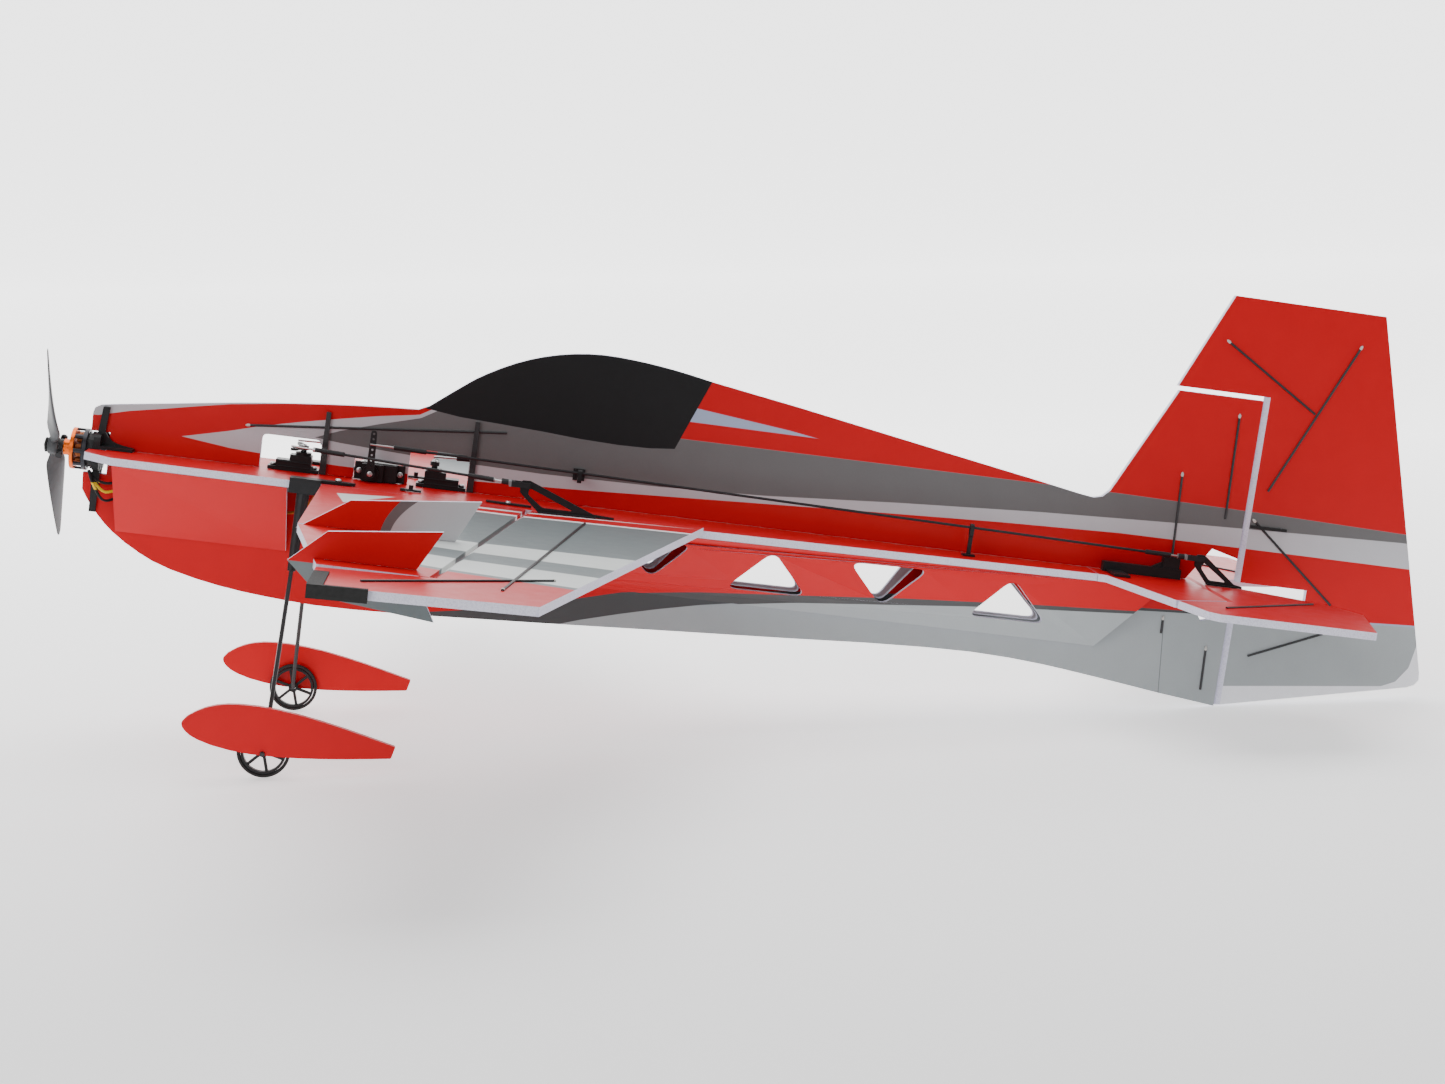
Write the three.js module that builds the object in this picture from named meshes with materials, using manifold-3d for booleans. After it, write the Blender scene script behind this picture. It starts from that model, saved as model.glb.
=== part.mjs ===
// Flat-foam aerobatic model aeroplane (monoplane) with working control surfaces.
// Millimetres. While it is drawn, -X is the nose, +X the tail, -Y the left wing, +Z up, and
// z = 0 is the middle of the flat foam plate that carries the wing. At the end the aeroplane is
// turned nose-up about Y so that it stands on its two wheels and the bottom corner of the fin.
import * as THREE from 'three';
import { mergeVertices } from 'three/addons/utils/BufferGeometryUtils.js';
import Module from 'manifold-3d';

const wasm = await Module();
wasm.setup();

// ---- driving dimensions -------------------------------------------------------------------
const FOAM = 5; // foam sheet thickness
const HALF = FOAM / 2;
const GAP = 0.3; // glue line between neighbouring pieces
const SKIN = HALF + GAP; // first free height over or beside a foam sheet
const SPAN = 860;
const TIP_Y = SPAN / 2;
const NOSE_X = -265.5;
const WING_LE_X = -106.5;
const WING_LE_KINK = [-105, 236]; // the leading edge is straight out to here, then swept
const WING_LE_TIP_X = -82.5;
const WING_TE_ROOT_X = 147;
const WING_TE_TIP_X = 34;
const AILERON_ROOT_Y = 58.2;
const BALANCE_Y = 371; // inner edge of the aileron balance tab
const HINGE_ROOT = [28, 60]; // aileron hinge line, inner end
const HINGE_TIP = [-24, 376]; // aileron hinge line, outer end
const AILERON_TRIM = 1.2; // left aileron stands this many degrees up at rest, right one down
const HINGE_GAP = 0.6;
const BEVEL = 4; // length of the hinge bevels
const ELEVATOR_HINGE_X = 498;
const RUDDER_HINGE_X = 531;
const PANEL_LOW_Z = -52; // lower edge of the belly side panels
const WHEEL_X = -121.5;
const WHEEL_Y = 99.6;
const WHEEL_Z = -168.8;
const WHEEL_R = 17.2;
const PANT_Y = 105;
const PROP_X = -289.5;
const PROP_R = 85;
const PROP_TURN = 36.5; // the blades stand this far from upright, in degrees
const PROP_PITCH = 95;
const MOTOR_R = 14;
const HORN = 20; // lever length of horns and servo arms
const RUDDER_HORN_Z = 45;
const SERVO = { length: 23.5, width: 12, flange: 34, low: 7, high: 13, below: 11 };
const AILERON_SERVO_X = -124.5;
const ELEVATOR_SERVO_X = -78;
const ELEVATOR_SERVO_Z = 8.9;
const RUDDER_SERVO_X = -36;
const ARM_Z = 18.4;
const ROD_R = 0.9;

// ---- materials ----------------------------------------------------------------------------
const paint = (color, roughness = 0.6, metalness = 0) =>
  new THREE.MeshStandardMaterial({ color, roughness, metalness });
const MAT = {
  red: paint(0xb80a10),
  grey: paint(0x77787c),
  silver: paint(0xb9b7bd),
  black: paint(0x17171a, 0.45),
  carbon: paint(0x1d1d20, 0.35),
  orange: paint(0xd2521a, 0.35, 0.7),
  steel: paint(0x9a9a9e, 0.35, 0.9),
  prop: paint(0x3c3d40, 0.5),
  yellow: paint(0xd9b21c, 0.5),
  rubber: paint(0x121212, 0.85),
};

// ---- helpers ------------------------------------------------------------------------------
const group = new THREE.Group();
group.name = 'foam_aerobat';

function solid(geometry) {
  const plain = new THREE.BufferGeometry();
  plain.setAttribute('position', geometry.attributes.position.clone());
  if (geometry.index) plain.setIndex(geometry.index.clone());
  const merged = mergeVertices(plain, 1e-4);
  const source = merged.index.array;
  const corners = [];
  for (let i = 0; i < source.length; i += 3) {
    const [a, b, c] = [source[i], source[i + 1], source[i + 2]];
    if (a !== b && b !== c && a !== c) corners.push(a, b, c);
  }
  return new wasm.Manifold(new wasm.Mesh({
    numProp: 3,
    vertProperties: Float32Array.from(merged.attributes.position.array),
    triVerts: Uint32Array.from(corners),
  }));
}

function geometryOf(body) {
  const mesh = body.getMesh();
  const geometry = new THREE.BufferGeometry();
  const xyz = new THREE.BufferAttribute(Float32Array.from(mesh.vertProperties), 3);
  geometry.setAttribute('position', xyz);
  geometry.setIndex(new THREE.BufferAttribute(Uint32Array.from(mesh.triVerts), 1));
  return geometry;
}

const bodyOf = (piece) => (piece.isBufferGeometry ? solid(piece) : piece);
const join = (...pieces) => geometryOf(pieces.map(bodyOf).reduce((a, b) => a.add(b)));
const cut = (piece, ...tools) =>
  geometryOf(tools.map(bodyOf).reduce((a, b) => a.subtract(b), bodyOf(piece)));

function put(name, geometry, material) {
  const flat = geometry.index ? geometry.toNonIndexed() : geometry;
  flat.computeVertexNormals();
  const mesh = new THREE.Mesh(flat, material);
  mesh.name = name;
  group.add(mesh);
  return mesh;
}

// outlines run anticlockwise and the holes in them clockwise
function vectors(points, anticlockwise) {
  const list = points.map(([a, b]) => new THREE.Vector2(a, b));
  return THREE.ShapeUtils.area(list) > 0 === anticlockwise ? list : list.reverse();
}

function shapeOf(points, holes = []) {
  const shape = new THREE.Shape(vectors(points, true));
  holes.forEach((hole) => shape.holes.push(new THREE.Path(vectors(hole, false))));
  return shape;
}

const extruded = (points, depth, holes) =>
  new THREE.ExtrudeGeometry(shapeOf(points, holes), { depth, bevelEnabled: false });

// flat sheets drawn in plan (x, y), in side view (x, z) or from ahead (y, z)
const sheetXY = (points, z0, z1, holes) => extruded(points, z1 - z0, holes).translate(0, 0, z0);
const sheetXZ = (points, y0, y1, holes) =>
  extruded(points, y1 - y0, holes).rotateX(Math.PI / 2).translate(0, y1, 0);
const sheetYZ = (points, x0, x1, holes) =>
  extruded(points, x1 - x0, holes).rotateX(Math.PI / 2).rotateZ(Math.PI / 2).translate(x0, 0, 0);

const box = (x0, x1, y0, y1, z0, z1) =>
  new THREE.BoxGeometry(x1 - x0, y1 - y0, z1 - z0)
    .translate((x0 + x1) / 2, (y0 + y1) / 2, (z0 + z1) / 2);

function rod(from, to, radius, sides = 10, radiusEnd = radius) {
  const a = new THREE.Vector3(...from);
  const b = new THREE.Vector3(...to);
  const way = b.clone().sub(a);
  const piece = new THREE.CylinderGeometry(radiusEnd, radius, way.length(), sides);
  const turn = new THREE.Quaternion()
    .setFromUnitVectors(new THREE.Vector3(0, 1, 0), way.clone().normalize());
  piece.applyQuaternion(turn);
  const middle = a.add(b).multiplyScalar(0.5);
  return piece.translate(middle.x, middle.y, middle.z);
}

function wire(points, radius, steps = 24, sides = 8, tension = 0.5) {
  const path = new THREE.CatmullRomCurve3(points.map((p) => new THREE.Vector3(...p)),
    false, 'catmullrom', tension);
  const section = new THREE.Shape();
  for (let i = 0; i < sides; i += 1) {
    const t = (2 * Math.PI * i) / sides;
    const move = i === 0 ? 'moveTo' : 'lineTo';
    section[move](radius * Math.cos(t), radius * Math.sin(t));
  }
  return new THREE.ExtrudeGeometry(section, { steps, extrudePath: path, bevelEnabled: false });
}

// smooth curve through the given points, as a list of points
const smooth = (points, count) =>
  new THREE.CatmullRomCurve3(points.map(([a, b]) => new THREE.Vector3(a, b, 0)), false, 'centripetal')
    .getPoints(count).map((p) => [p.x, p.y]);

// polygon with rounded corners
function rounded(points, radius, steps = 4) {
  const out = [];
  points.forEach((p, i) => {
    const before = points[(i + points.length - 1) % points.length];
    const after = points[(i + 1) % points.length];
    const toBefore = Math.hypot(before[0] - p[0], before[1] - p[1]);
    const toAfter = Math.hypot(after[0] - p[0], after[1] - p[1]);
    const reach = Math.min(radius, toBefore / 2.2, toAfter / 2.2);
    const a = [p[0] + ((before[0] - p[0]) * reach) / toBefore,
      p[1] + ((before[1] - p[1]) * reach) / toBefore];
    const b = [p[0] + ((after[0] - p[0]) * reach) / toAfter,
      p[1] + ((after[1] - p[1]) * reach) / toAfter];
    for (let k = 0; k <= steps; k += 1) {
      const t = k / steps;
      out.push([0, 1].map((j) => (1 - t) ** 2 * a[j] + 2 * t * (1 - t) * p[j] + t * t * b[j]));
    }
  });
  return out;
}

const rect = (a0, a1, b0, b1) => [[a0, b0], [a1, b0], [a1, b1], [a0, b1]];
const disc = (a, b, radius, sides = 14) =>
  Array.from({ length: sides }, (_, i) => {
    const t = (2 * Math.PI * i) / sides;
    return [a + radius * Math.cos(t), b + radius * Math.sin(t)];
  });
// value at x on the straight pieces between the points
function along(points, x) {
  for (let i = 1; i < points.length; i += 1) {
    const [x0, v0] = points[i - 1];
    const [x1, v1] = points[i];
    if (x <= x1 || i === points.length - 1) return v0 + ((v1 - v0) * (x - x0)) / (x1 - x0);
  }
  return 0;
}
const mirrorY = (points) => points.map(([x, y]) => [x, -y]).reverse();
const flipSide = (geometry) => {
  const other = geometry.clone().scale(1, -1, 1);
  const body = other.index ? other.toNonIndexed() : other;
  const xyz = body.attributes.position;
  for (let i = 0; i < xyz.count; i += 3) {
    const [x, y, z] = [xyz.getX(i), xyz.getY(i), xyz.getZ(i)];
    xyz.setXYZ(i, xyz.getX(i + 1), xyz.getY(i + 1), xyz.getZ(i + 1));
    xyz.setXYZ(i + 1, x, y, z);
  }
  return body;
};

// the two wedges taken off the hinge edge of a moving surface; `axis` runs from a to b along
// the hinge and `into` points from the hinge into the surface
function hingeBevels(a, b, into) {
  const start = new THREE.Vector3(...a);
  const way = new THREE.Vector3(...b).sub(start);
  const u = new THREE.Vector3(...into).normalize();
  const w = way.clone().normalize();
  const v = new THREE.Vector3().crossVectors(w, u);
  const frame = new THREE.Matrix4().makeBasis(u, v, w).setPosition(start);
  return [1, -1].map((side) => {
    const profile = [[-2, 0], [0, 0], [BEVEL, side * HALF], [BEVEL + 1.2, side * (HALF + 0.75)],
      [-2, side * (HALF + 0.75)]];
    const wedge = extruded(profile, way.length());
    return solid(wedge.applyMatrix4(frame));
  });
}

// ---- foam fuselage ------------------------------------------------------------------------
const plateHalf = [[-244, 48], [-107, 52], [28, 57], [147, 57], [424, 32.5]];
const stern = (x) => along(plateHalf, x);

const spine = [
  [-253, SKIN], [-253, 13.5], [NOSE_X, 13.5], [NOSE_X, 25.5], [-264.4, 29.2], [-261, 31.2],
  ...smooth([[-250, 32.9], [-216, 37.6], [-170, 44], [-130, 48.4], [-90, 52], [-51, 54.4]], 10),
  ...smooth([[-44, 57.6], [-25, 72.4], [-12, 81.8], [13, 94.9], [39, 103.2], [66, 106.8],
    [94, 105.7], [122, 102.2], [146, 97.8]], 22),
  [207, 88.1], [322, 68.4], [381, 58.4], [412, 52.9], [421, 51.7], [427, 53.2], [432, 58],
  [470, 133.5], [RUDDER_HINGE_X - HINGE_GAP, 133.5], [RUDDER_HINGE_X - HINGE_GAP, 21],
  [511, 26], [495.2, SKIN],
];
const servoWindow = (x0, x1, top) => sheetXZ(rounded(rect(x0, x1, -12, top), 4), -9, 9);
const hornPinHoles = [540, 558];
// stiffening posts on both faces of the spine, pinned through it: name, place, top
const posts = [['post_front', -110.4, 45.4], ['post_rear', -10.4, 51]];
const POST_PIN_Z = 36;
put('fuselage_upper', cut(
  sheetXZ(spine, -HALF, HALF, posts.map(([, x]) => disc(x, POST_PIN_Z, 1.2, 10))),
  servoWindow(-153, -112.9, 25.4),
  servoWindow(-53.2, -12.9, 27.4),
  box(-90, -57, -9, 9, 0, 16.2),
), MAT.red);

// lightening holes of the belly, drawn in side view
const bellyHoles = [
  [[93, -9.5], [142, -9], [118, -39]],
  [[197, -6.5], [227, -39.5], [170, -40]],
  [[250, -8.5], [306, -8], [280, -40.5]],
  [[366, -7.5], [398, -39.5], [341, -40]],
].map((triangle) => rounded(triangle, 9, 5));
const keel = [
  [-253, -SKIN], [495.2, -SKIN], [511, -26], [RUDDER_HINGE_X - HINGE_GAP, -21],
  [RUDDER_HINGE_X - HINGE_GAP, -85.6],
  ...smooth([[490, -81], [460, -77], [430, -73.2], [401, -69.9], [357, -67.2], [300, -68.2],
    [215, -72.9], [131, -77.4], [48, -82], [-7, -84.7], [-48, -86.7], [-102, -87.8],
    [-130, -86.3], [-157, -83.8], [-184, -79.5], [-212, -72.2], [-228, -64.8], [-245, -53.8],
    [-254, -45.5], [-263, -34.6], [-268, -26.5]], 34),
  [-268.5, -15.2], [-253, -15.2],
];
put('fuselage_lower', cut(
  sheetXZ(keel, -HALF, HALF, bellyHoles),
  box(-144, -117, -9, 9, -12, 0),
  box(-43.5, -17, -9, 9, -12, 0),
), MAT.grey);

// the flat plate: nose to stabiliser, with slots for the upright servos
const plateSide = [
  [NOSE_X + 1.5, 15], [NOSE_X + 2, 33], [-244, 48], [-107, 52], [28, 57], [147, 57], [424, 32.5],
];
const plateOutline = [[-253, -15], ...plateSide.map(([x, y]) => [x, -y]), ...plateSide.reverse(),
  [-253, 15]];
put('fuselage_plate', cut(
  sheetXY(plateOutline, -HALF, HALF),
  box(-143.4, -118.2, -6.6, 6.6, -4, 4),
  box(-42.8, -17.6, -6.6, 6.6, -4, 4),
), MAT.red);

// belly side panels: ruled from the plate edge down and inwards to the keel
function bellyPanel(outline, holes) {
  const flat = extruded(outline, 1, holes);
  const xyz = flat.attributes.position;
  for (let i = 0; i < xyz.count; i += 1) {
    const [x, z, t] = [xyz.getX(i), xyz.getY(i), xyz.getZ(i)];
    const drop = (z + SKIN) / (PANEL_LOW_Z + SKIN);
    const outer = (stern(x) - 0.6) * (1 - drop) + 7 * drop;
    xyz.setXYZ(i, x, 4.2 * (1 - t) - outer, z);
  }
  return geometryOf(solid(flat));
}
const panelFront = bellyPanel([[-243, -SKIN], [-243, PANEL_LOW_Z], [-129, PANEL_LOW_Z],
  [-129, -SKIN]]);
const panelRear = bellyPanel([[-99, -SKIN], [-99, PANEL_LOW_Z], [28, PANEL_LOW_Z],
  [147, PANEL_LOW_Z], [436, PANEL_LOW_Z], [474, -SKIN], [424, -SKIN], [147, -SKIN],
  [28, -SKIN]], bellyHoles);
put('belly_panel_front_left', panelFront, MAT.red);
put('belly_panel_front_right', flipSide(panelFront), MAT.red);
put('belly_panel_rear_left', panelRear, MAT.red);
put('belly_panel_rear_right', flipSide(panelRear), MAT.red);

// ---- wing ---------------------------------------------------------------------------------
const hingeX = (y) => along([HINGE_ROOT, HINGE_TIP].map(([x, v]) => [v, x]), y);
const teX = (y) => along([[57, WING_TE_ROOT_X], [TIP_Y, WING_TE_TIP_X]], y);
const leX = (y) => along([[57, WING_LE_X], [WING_LE_KINK[1], WING_LE_KINK[0]],
  [BALANCE_Y, WING_LE_TIP_X], [TIP_Y, WING_LE_TIP_X + 0.5]], y);
const hingeDir = new THREE.Vector3(HINGE_TIP[0] - HINGE_ROOT[0], HINGE_ROOT[1] - HINGE_TIP[1], 0)
  .normalize();
const generators = [
  { name: 'inner', y: 236, notch: -88,
    edge: [[-105.4, 0], [-76, 19.6], [-1, 27.6], [-13.6, SKIN]] },
  { name: 'outer', y: 352, notch: -80,
    edge: [[-99, 0], [-79.6, 17.7], [-19, 24.5], [-31, SKIN]] },
];
const panel = [[WING_LE_X, 52.3], [leX(236), 236], [leX(370), 370],
  [hingeX(370) - HINGE_GAP, 370], [hingeX(57.3) - HINGE_GAP, 57.3]];
const wingLeft = cut(
  sheetXY(mirrorY(panel), -HALF, HALF),
  ...generators.map(({ y, notch }) => box(-130, notch + GAP, -y - 1.8, -y + 1.8, -4, 4)),
);
put('wing_left', wingLeft, MAT.silver);
put('wing_right', flipSide(wingLeft), MAT.silver);

// side force generators: swept plates standing through the wing
for (const { name, y, notch, edge } of generators) {
  const below = edge.slice(1).map(([x, z]) => [x, -z]).reverse();
  const plate = sheetXZ([...edge, [notch, SKIN], [notch, -SKIN], ...below], -y - 1.5, -y + 1.5);
  put(`side_fin_${name}_left`, plate, MAT.red);
  put(`side_fin_${name}_right`, flipSide(plate), MAT.red);
}

// ailerons turn about the slanted hinge line
const aileronHinge = new THREE.Vector3(HINGE_ROOT[0], -HINGE_ROOT[1], 0);
const trim = (geometry, degrees) => geometry.clone()
  .translate(-aileronHinge.x, -aileronHinge.y, 0)
  .applyMatrix4(new THREE.Matrix4().makeRotationAxis(hingeDir, (degrees * Math.PI) / 180))
  .translate(aileronHinge.x, aileronHinge.y, 0);
const flap = [[hingeX(AILERON_ROOT_Y), AILERON_ROOT_Y], [teX(AILERON_ROOT_Y), AILERON_ROOT_Y],
  [teX(TIP_Y), TIP_Y], [leX(TIP_Y), TIP_Y], [leX(BALANCE_Y), BALANCE_Y],
  [hingeX(BALANCE_Y) - 0.2, BALANCE_Y]];
const aileronLeft = cut(
  sheetXY(mirrorY(flap).reverse(), -HALF, HALF),
  ...hingeBevels([hingeX(40), -40, 0], [hingeX(BALANCE_Y), -BALANCE_Y, 0],
    [-hingeDir.y, hingeDir.x, 0]),
);
const hornFrame = (pinX, base) => [
  [pinX - 4, HORN - 5], [pinX - 4.2, HORN + 1.6], [pinX - 2.4, HORN + 2.9],
  [pinX + 2.2, HORN + 3], [base[1], 5], [base[2], 4], [base[2], SKIN], [base[0], SKIN],
];
const AILERON_HORN_Y = 67;
const aileronPin = hingeX(AILERON_HORN_Y);
const aileronHorn = join(
  sheetXZ(hornFrame(aileronPin, [36, 72, 86]), -AILERON_HORN_Y - 1, -AILERON_HORN_Y + 1, [
    rounded([[aileronPin + 2.2, HORN - 1.6], [aileronPin + 1.4, HORN - 6], [38.5, 6],
      [59, 5.6]], 1.6, 2),
    disc(aileronPin, HORN, 0.8, 8),
  ]),
  box(36, 74, -AILERON_HORN_Y - 3, -AILERON_HORN_Y + 3, SKIN, SKIN + 1),
);
const tipBlock = join(
  box(-82, -51.5, -TIP_Y - 3.2, -TIP_Y - GAP, -3.6, 3.6),
  box(-82, -74, -TIP_Y - 1, -TIP_Y + 41, SKIN, 3.6),
);
for (const [side, angle] of [['left', AILERON_TRIM], ['right', -AILERON_TRIM]]) {
  const place = (geometry) => {
    const turned = trim(geometry, angle);
    return side === 'left' ? turned : flipSide(turned);
  };
  put(`aileron_${side}`, place(aileronLeft), MAT.red);
  put(`aileron_horn_${side}`, place(aileronHorn), MAT.black);
  put(`tip_weight_${side}`, place(tipBlock), MAT.black);
}

// ---- tail ---------------------------------------------------------------------------------
const stabHalf = [[424.4, 33], [430, 34.2], [455.5, 117], [ELEVATOR_HINGE_X - HINGE_GAP, 92.6]];
put('stabiliser', sheetXY([...mirrorY(stabHalf).reverse(), ...stabHalf.reverse()],
  -HALF, HALF), MAT.red);
const elevatorHalf = [
  [ELEVATOR_HINGE_X, 94.4], [456.6, 118.6], [466.5, 153], [473, 158.5], [577, 158.5], [597, 80],
  [584, 56], [571, 45], [527, 19],
];
put('elevator', cut(
  sheetXY([...mirrorY(elevatorHalf).reverse(), ...elevatorHalf.reverse()], -HALF, HALF),
  ...hingeBevels([ELEVATOR_HINGE_X, 94.4, 0], [ELEVATOR_HINGE_X, -94.4, 0], [1, 0, 0]),
), MAT.red);
const ELEVATOR_HORN_Y = 22;
put('elevator_horn', join(
  sheetXZ(hornFrame(ELEVATOR_HINGE_X, [504.5, 524, 530]), -ELEVATOR_HORN_Y - 1,
    -ELEVATOR_HORN_Y + 1, [
      rounded([[ELEVATOR_HINGE_X + 2.2, HORN - 2], [ELEVATOR_HINGE_X + 0.6, HORN - 6],
        [505.8, 6], [518, 5.8]], 1.4, 2),
      disc(ELEVATOR_HINGE_X, HORN, 0.8, 8),
    ]),
  box(504.5, 526, -ELEVATOR_HORN_Y - 2.6, -ELEVATOR_HORN_Y + 2.6, SKIN, SKIN + 1),
), MAT.black);

const rudderOutline = [
  [RUDDER_HINGE_X, 136.6], [468.4, 136.6], [499, 203.6], [608, 202.8], [676.5, -45],
  [677, -50], [674, -54], [669, -56.2], [RUDDER_HINGE_X, -85], [RUDDER_HINGE_X, -4.6],
  [584, -4.6], [584, 4.6], [RUDDER_HINGE_X, 4.6],
];
put('rudder', cut(
  sheetXZ(rudderOutline, -HALF, HALF,
    hornPinHoles.map((x) => disc(x, RUDDER_HORN_Z, 1.2, 10))),
  ...hingeBevels([RUDDER_HINGE_X, 0, 136.6], [RUDDER_HINGE_X, 0, 3], [1, 0, 0]),
  ...hingeBevels([RUDDER_HINGE_X, 0, -3], [RUDDER_HINGE_X, 0, -88], [1, 0, 0]),
), MAT.red);
// rudder horn on the right face, its backing strip on the left face
put('rudder_horn', join(
  sheetXY([[535, SKIN], [562, SKIN], [562, 4], [552, 5], [RUDDER_HINGE_X + 2.4, HORN + 3],
    [RUDDER_HINGE_X - 2.6, HORN + 3], [RUDDER_HINGE_X - 4, HORN], [RUDDER_HINGE_X - 3, HORN - 5]],
  RUDDER_HORN_Z - 1, RUDDER_HORN_Z + 1, [disc(RUDDER_HINGE_X, HORN, 0.8, 8)]),
  box(535.5, 562, SKIN, SKIN + 1, RUDDER_HORN_Z - 2.5, RUDDER_HORN_Z + 2.5),
  box(535.5, 562, -SKIN - 1, -SKIN, RUDDER_HORN_Z - 1, RUDDER_HORN_Z + 1),
  ...hornPinHoles.map((x) => rod([x, -SKIN - 0.5, RUDDER_HORN_Z], [x, SKIN + 0.5, RUDDER_HORN_Z],
    0.9, 8)),
), MAT.black);

// moulded clamp across the joint of plate and stabiliser, left side
put('tail_clamp', join(
  box(432, 488, -14, -8, SKIN, 9.5),
  box(474.5, 486.5, -13, -7.4, 6, 18),
  sheetXZ([[466, 9], [475, 9], [475, 14]], -12, -9),
  box(434.5, 446, -36.5, -13, SKIN, 4.4),
), MAT.black);

// ---- power unit ---------------------------------------------------------------------------
const ringY = (profile, sides) => new THREE.LatheGeometry(vectors(profile, true), sides);
const ringX = (profile, sides) => ringY(profile, sides).rotateZ(-Math.PI / 2);
// the carrier: a plate in the nose cut-out, straps up and down both faces and curved gussets
const gusset = [[-258.5, 24], ...smooth([[-256, 14], [-251, 8], [-244, 5.8], [-236.5, 4.8]], 6),
  [-236, SKIN], [-258.5, SKIN]];
const strap = (side) => {
  const [y0, y1] = side < 0 ? [-5, -SKIN] : [SKIN, 5];
  return [
    sheetXZ([[-262, 2], [-257, 2], [-254.2, 30.6], [-258.6, 30.6]], y0, y1),
    sheetXZ([[-262, -2], [-262, -41], [-257.6, -41], [-257, -2]], y0, y1),
    sheetXZ(gusset, y0, y1),
    box(-258, -236, side < 0 ? -12 : SKIN, side < 0 ? -SKIN : 12, SKIN, 4.6),
  ];
};
put('motor_mount', join(
  sheetYZ(rounded(rect(-12, 12, -12.5, 12.5), 5, 3), -261.8, -257.4),
  ...strap(-1),
  ...strap(1),
), MAT.black);
put('motor_stator', join(
  ringX([[0, -264], [12.6, -264], [12.6, -262.1], [0, -262.1]], 28),
  ringX([[0, -270], [11.4, -270], [11.4, -263.8], [0, -263.8]], 24),
), MAT.steel);
put('motor_bell', join(
  ringX([[0, -270.4], [4, -270.4], [4, -274.8], [12.1, -274.8], [12.1, -266.2],
    [MOTOR_R, -266.2], [MOTOR_R, -276.2], [12, -277.4], [6.4, -277.4], [5.4, -282.6],
    [1.6, -282.6], [1.6, -296], [0, -296]], 32),
), MAT.orange);

// two-bladed propeller, lofted section by section with the twist of its pitch
function bladeGeometry() {
  const stations = 15;
  const around = 12;
  const verts = [];
  for (let s = 0; s < stations; s += 1) {
    const t = s / (stations - 1);
    const r = 2.5 + (PROP_R - 2.5) * t;
    const blend = Math.min(1, (r + 3.4) / 16);
    const chord = blend * (2.2 + 16.5 * Math.sin(Math.PI * (0.13 + 0.84 * t)) ** 0.75 * (1 - t / 4));
    const thick = 3.4 * (1 - t) ** 1.3 + 0.9;
    const twist = Math.atan2(PROP_PITCH, 2 * Math.PI * Math.max(r, 16));
    for (let k = 0; k < around; k += 1) {
      const a = (2 * Math.PI * k) / around;
      const u = (chord / 2) * Math.cos(a) + chord * 0.06;
      const v = (thick / 2) * Math.sin(a) * (1 + 0.35 * Math.cos(a));
      const y = u * Math.cos(twist) - v * Math.sin(twist);
      const x = u * Math.sin(twist) + v * Math.cos(twist);
      verts.push(x, y, r);
    }
  }
  const faces = [];
  for (let s = 0; s < stations - 1; s += 1) {
    for (let k = 0; k < around; k += 1) {
      const [a, b] = [s * around + k, s * around + ((k + 1) % around)];
      faces.push(a, a + around, b, b, a + around, b + around);
    }
  }
  const last = (stations - 1) * around;
  for (let k = 1; k < around - 1; k += 1) {
    faces.push(0, k, k + 1, last, last + k + 1, last + k);
  }
  const geometry = new THREE.BufferGeometry();
  geometry.setAttribute('position', new THREE.Float32BufferAttribute(verts, 3));
  geometry.setIndex(faces);
  return geometry;
}
const blade = flipSide(bladeGeometry()).translate(-0.25, 0, 0);
const propeller = cut(
  join(
    blade,
    blade.clone().rotateX(Math.PI),
    ringX([[0, -3.4], [5.6, -3.4], [6.2, -2.4], [6.2, 2.4], [5.6, 3.4], [0, 3.4]], 24),
  ),
  ringX([[0, -6], [2, -6], [2, 6], [0, 6]], 16),
);
const PROP_ANGLE = (PROP_TURN * Math.PI) / 180;
put('propeller', propeller.clone().rotateX(PROP_ANGLE).translate(PROP_X, 0, 0), MAT.prop);
// the collar behind the propeller with its two thumb screws, and the rubber ring over the hub
put('prop_saver', cut(
  join(
    ringX([[0, -1.2], [5, -1.2], [5, 1.2], [0, 1.2]], 20).translate(-284.4, 0, 0),
    rod([-284.4, -8.6, 0], [-284.4, 8.6, 0], 1.2, 8),
    rod([-284.4, -9.4, 0], [-284.4, -7.6, 0], 2.4, 10),
    rod([-284.4, 7.6, 0], [-284.4, 9.4, 0], 2.4, 10),
  ),
  ringX([[0, -6], [1.9, -6], [1.9, 6], [0, 6]], 16).translate(-285, 0, 0),
).rotateX(PROP_ANGLE), MAT.black);
const oring = Array.from({ length: 9 }, (_, i) => {
  const t = (2 * Math.PI * i) / 8;
  return [4.2 + 0.9 * Math.cos(t), 0.9 * Math.sin(t)];
});
put('prop_ring', ringX(oring, 24).translate(PROP_X - 4.7, 0, 0), MAT.rubber);

// speed controller and receiver on the left face of the keel, with their wires
put('speed_controller', sheetXZ(rounded(rect(-236, -202, -34, -14), 3, 2), -9.6, -SKIN - 0.2),
  MAT.black);
const motorWire = (i) => wire([
  [-263.1, -7.4 - 2.9 * i, -13.6 + 0.8 * i], [-259.6, -9.4 - 3 * i, -17.5 - i],
  [-252, -10 - 2 * i, -20 - 5.4 * i], [-244, -8 - 0.6 * i, -18.5 - 5.4 * i],
  [-238, -6.4, -16.5 - 5.4 * i],
], 0.95, 16, 8);
put('motor_leads', join(motorWire(0), motorWire(1), motorWire(2),
  box(-239.6, -236.3, -8.6, -4.2, -29.6, -14.4)), MAT.yellow);
put('receiver', sheetXZ(rounded(rect(-172, -139, -36, -14), 2.5, 2), -11.6, -SKIN - 0.2),
  MAT.black);
put('servo_lead', wire([[-138.2, -7.6, -22], [-131, -12, -25], [-122, -15, -22],
  [-114.4, -13, -14], [-113.6, -8, -8], [-117.6, -4.8, -5.8]], 0.9, 20, 8), MAT.orange);

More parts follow.
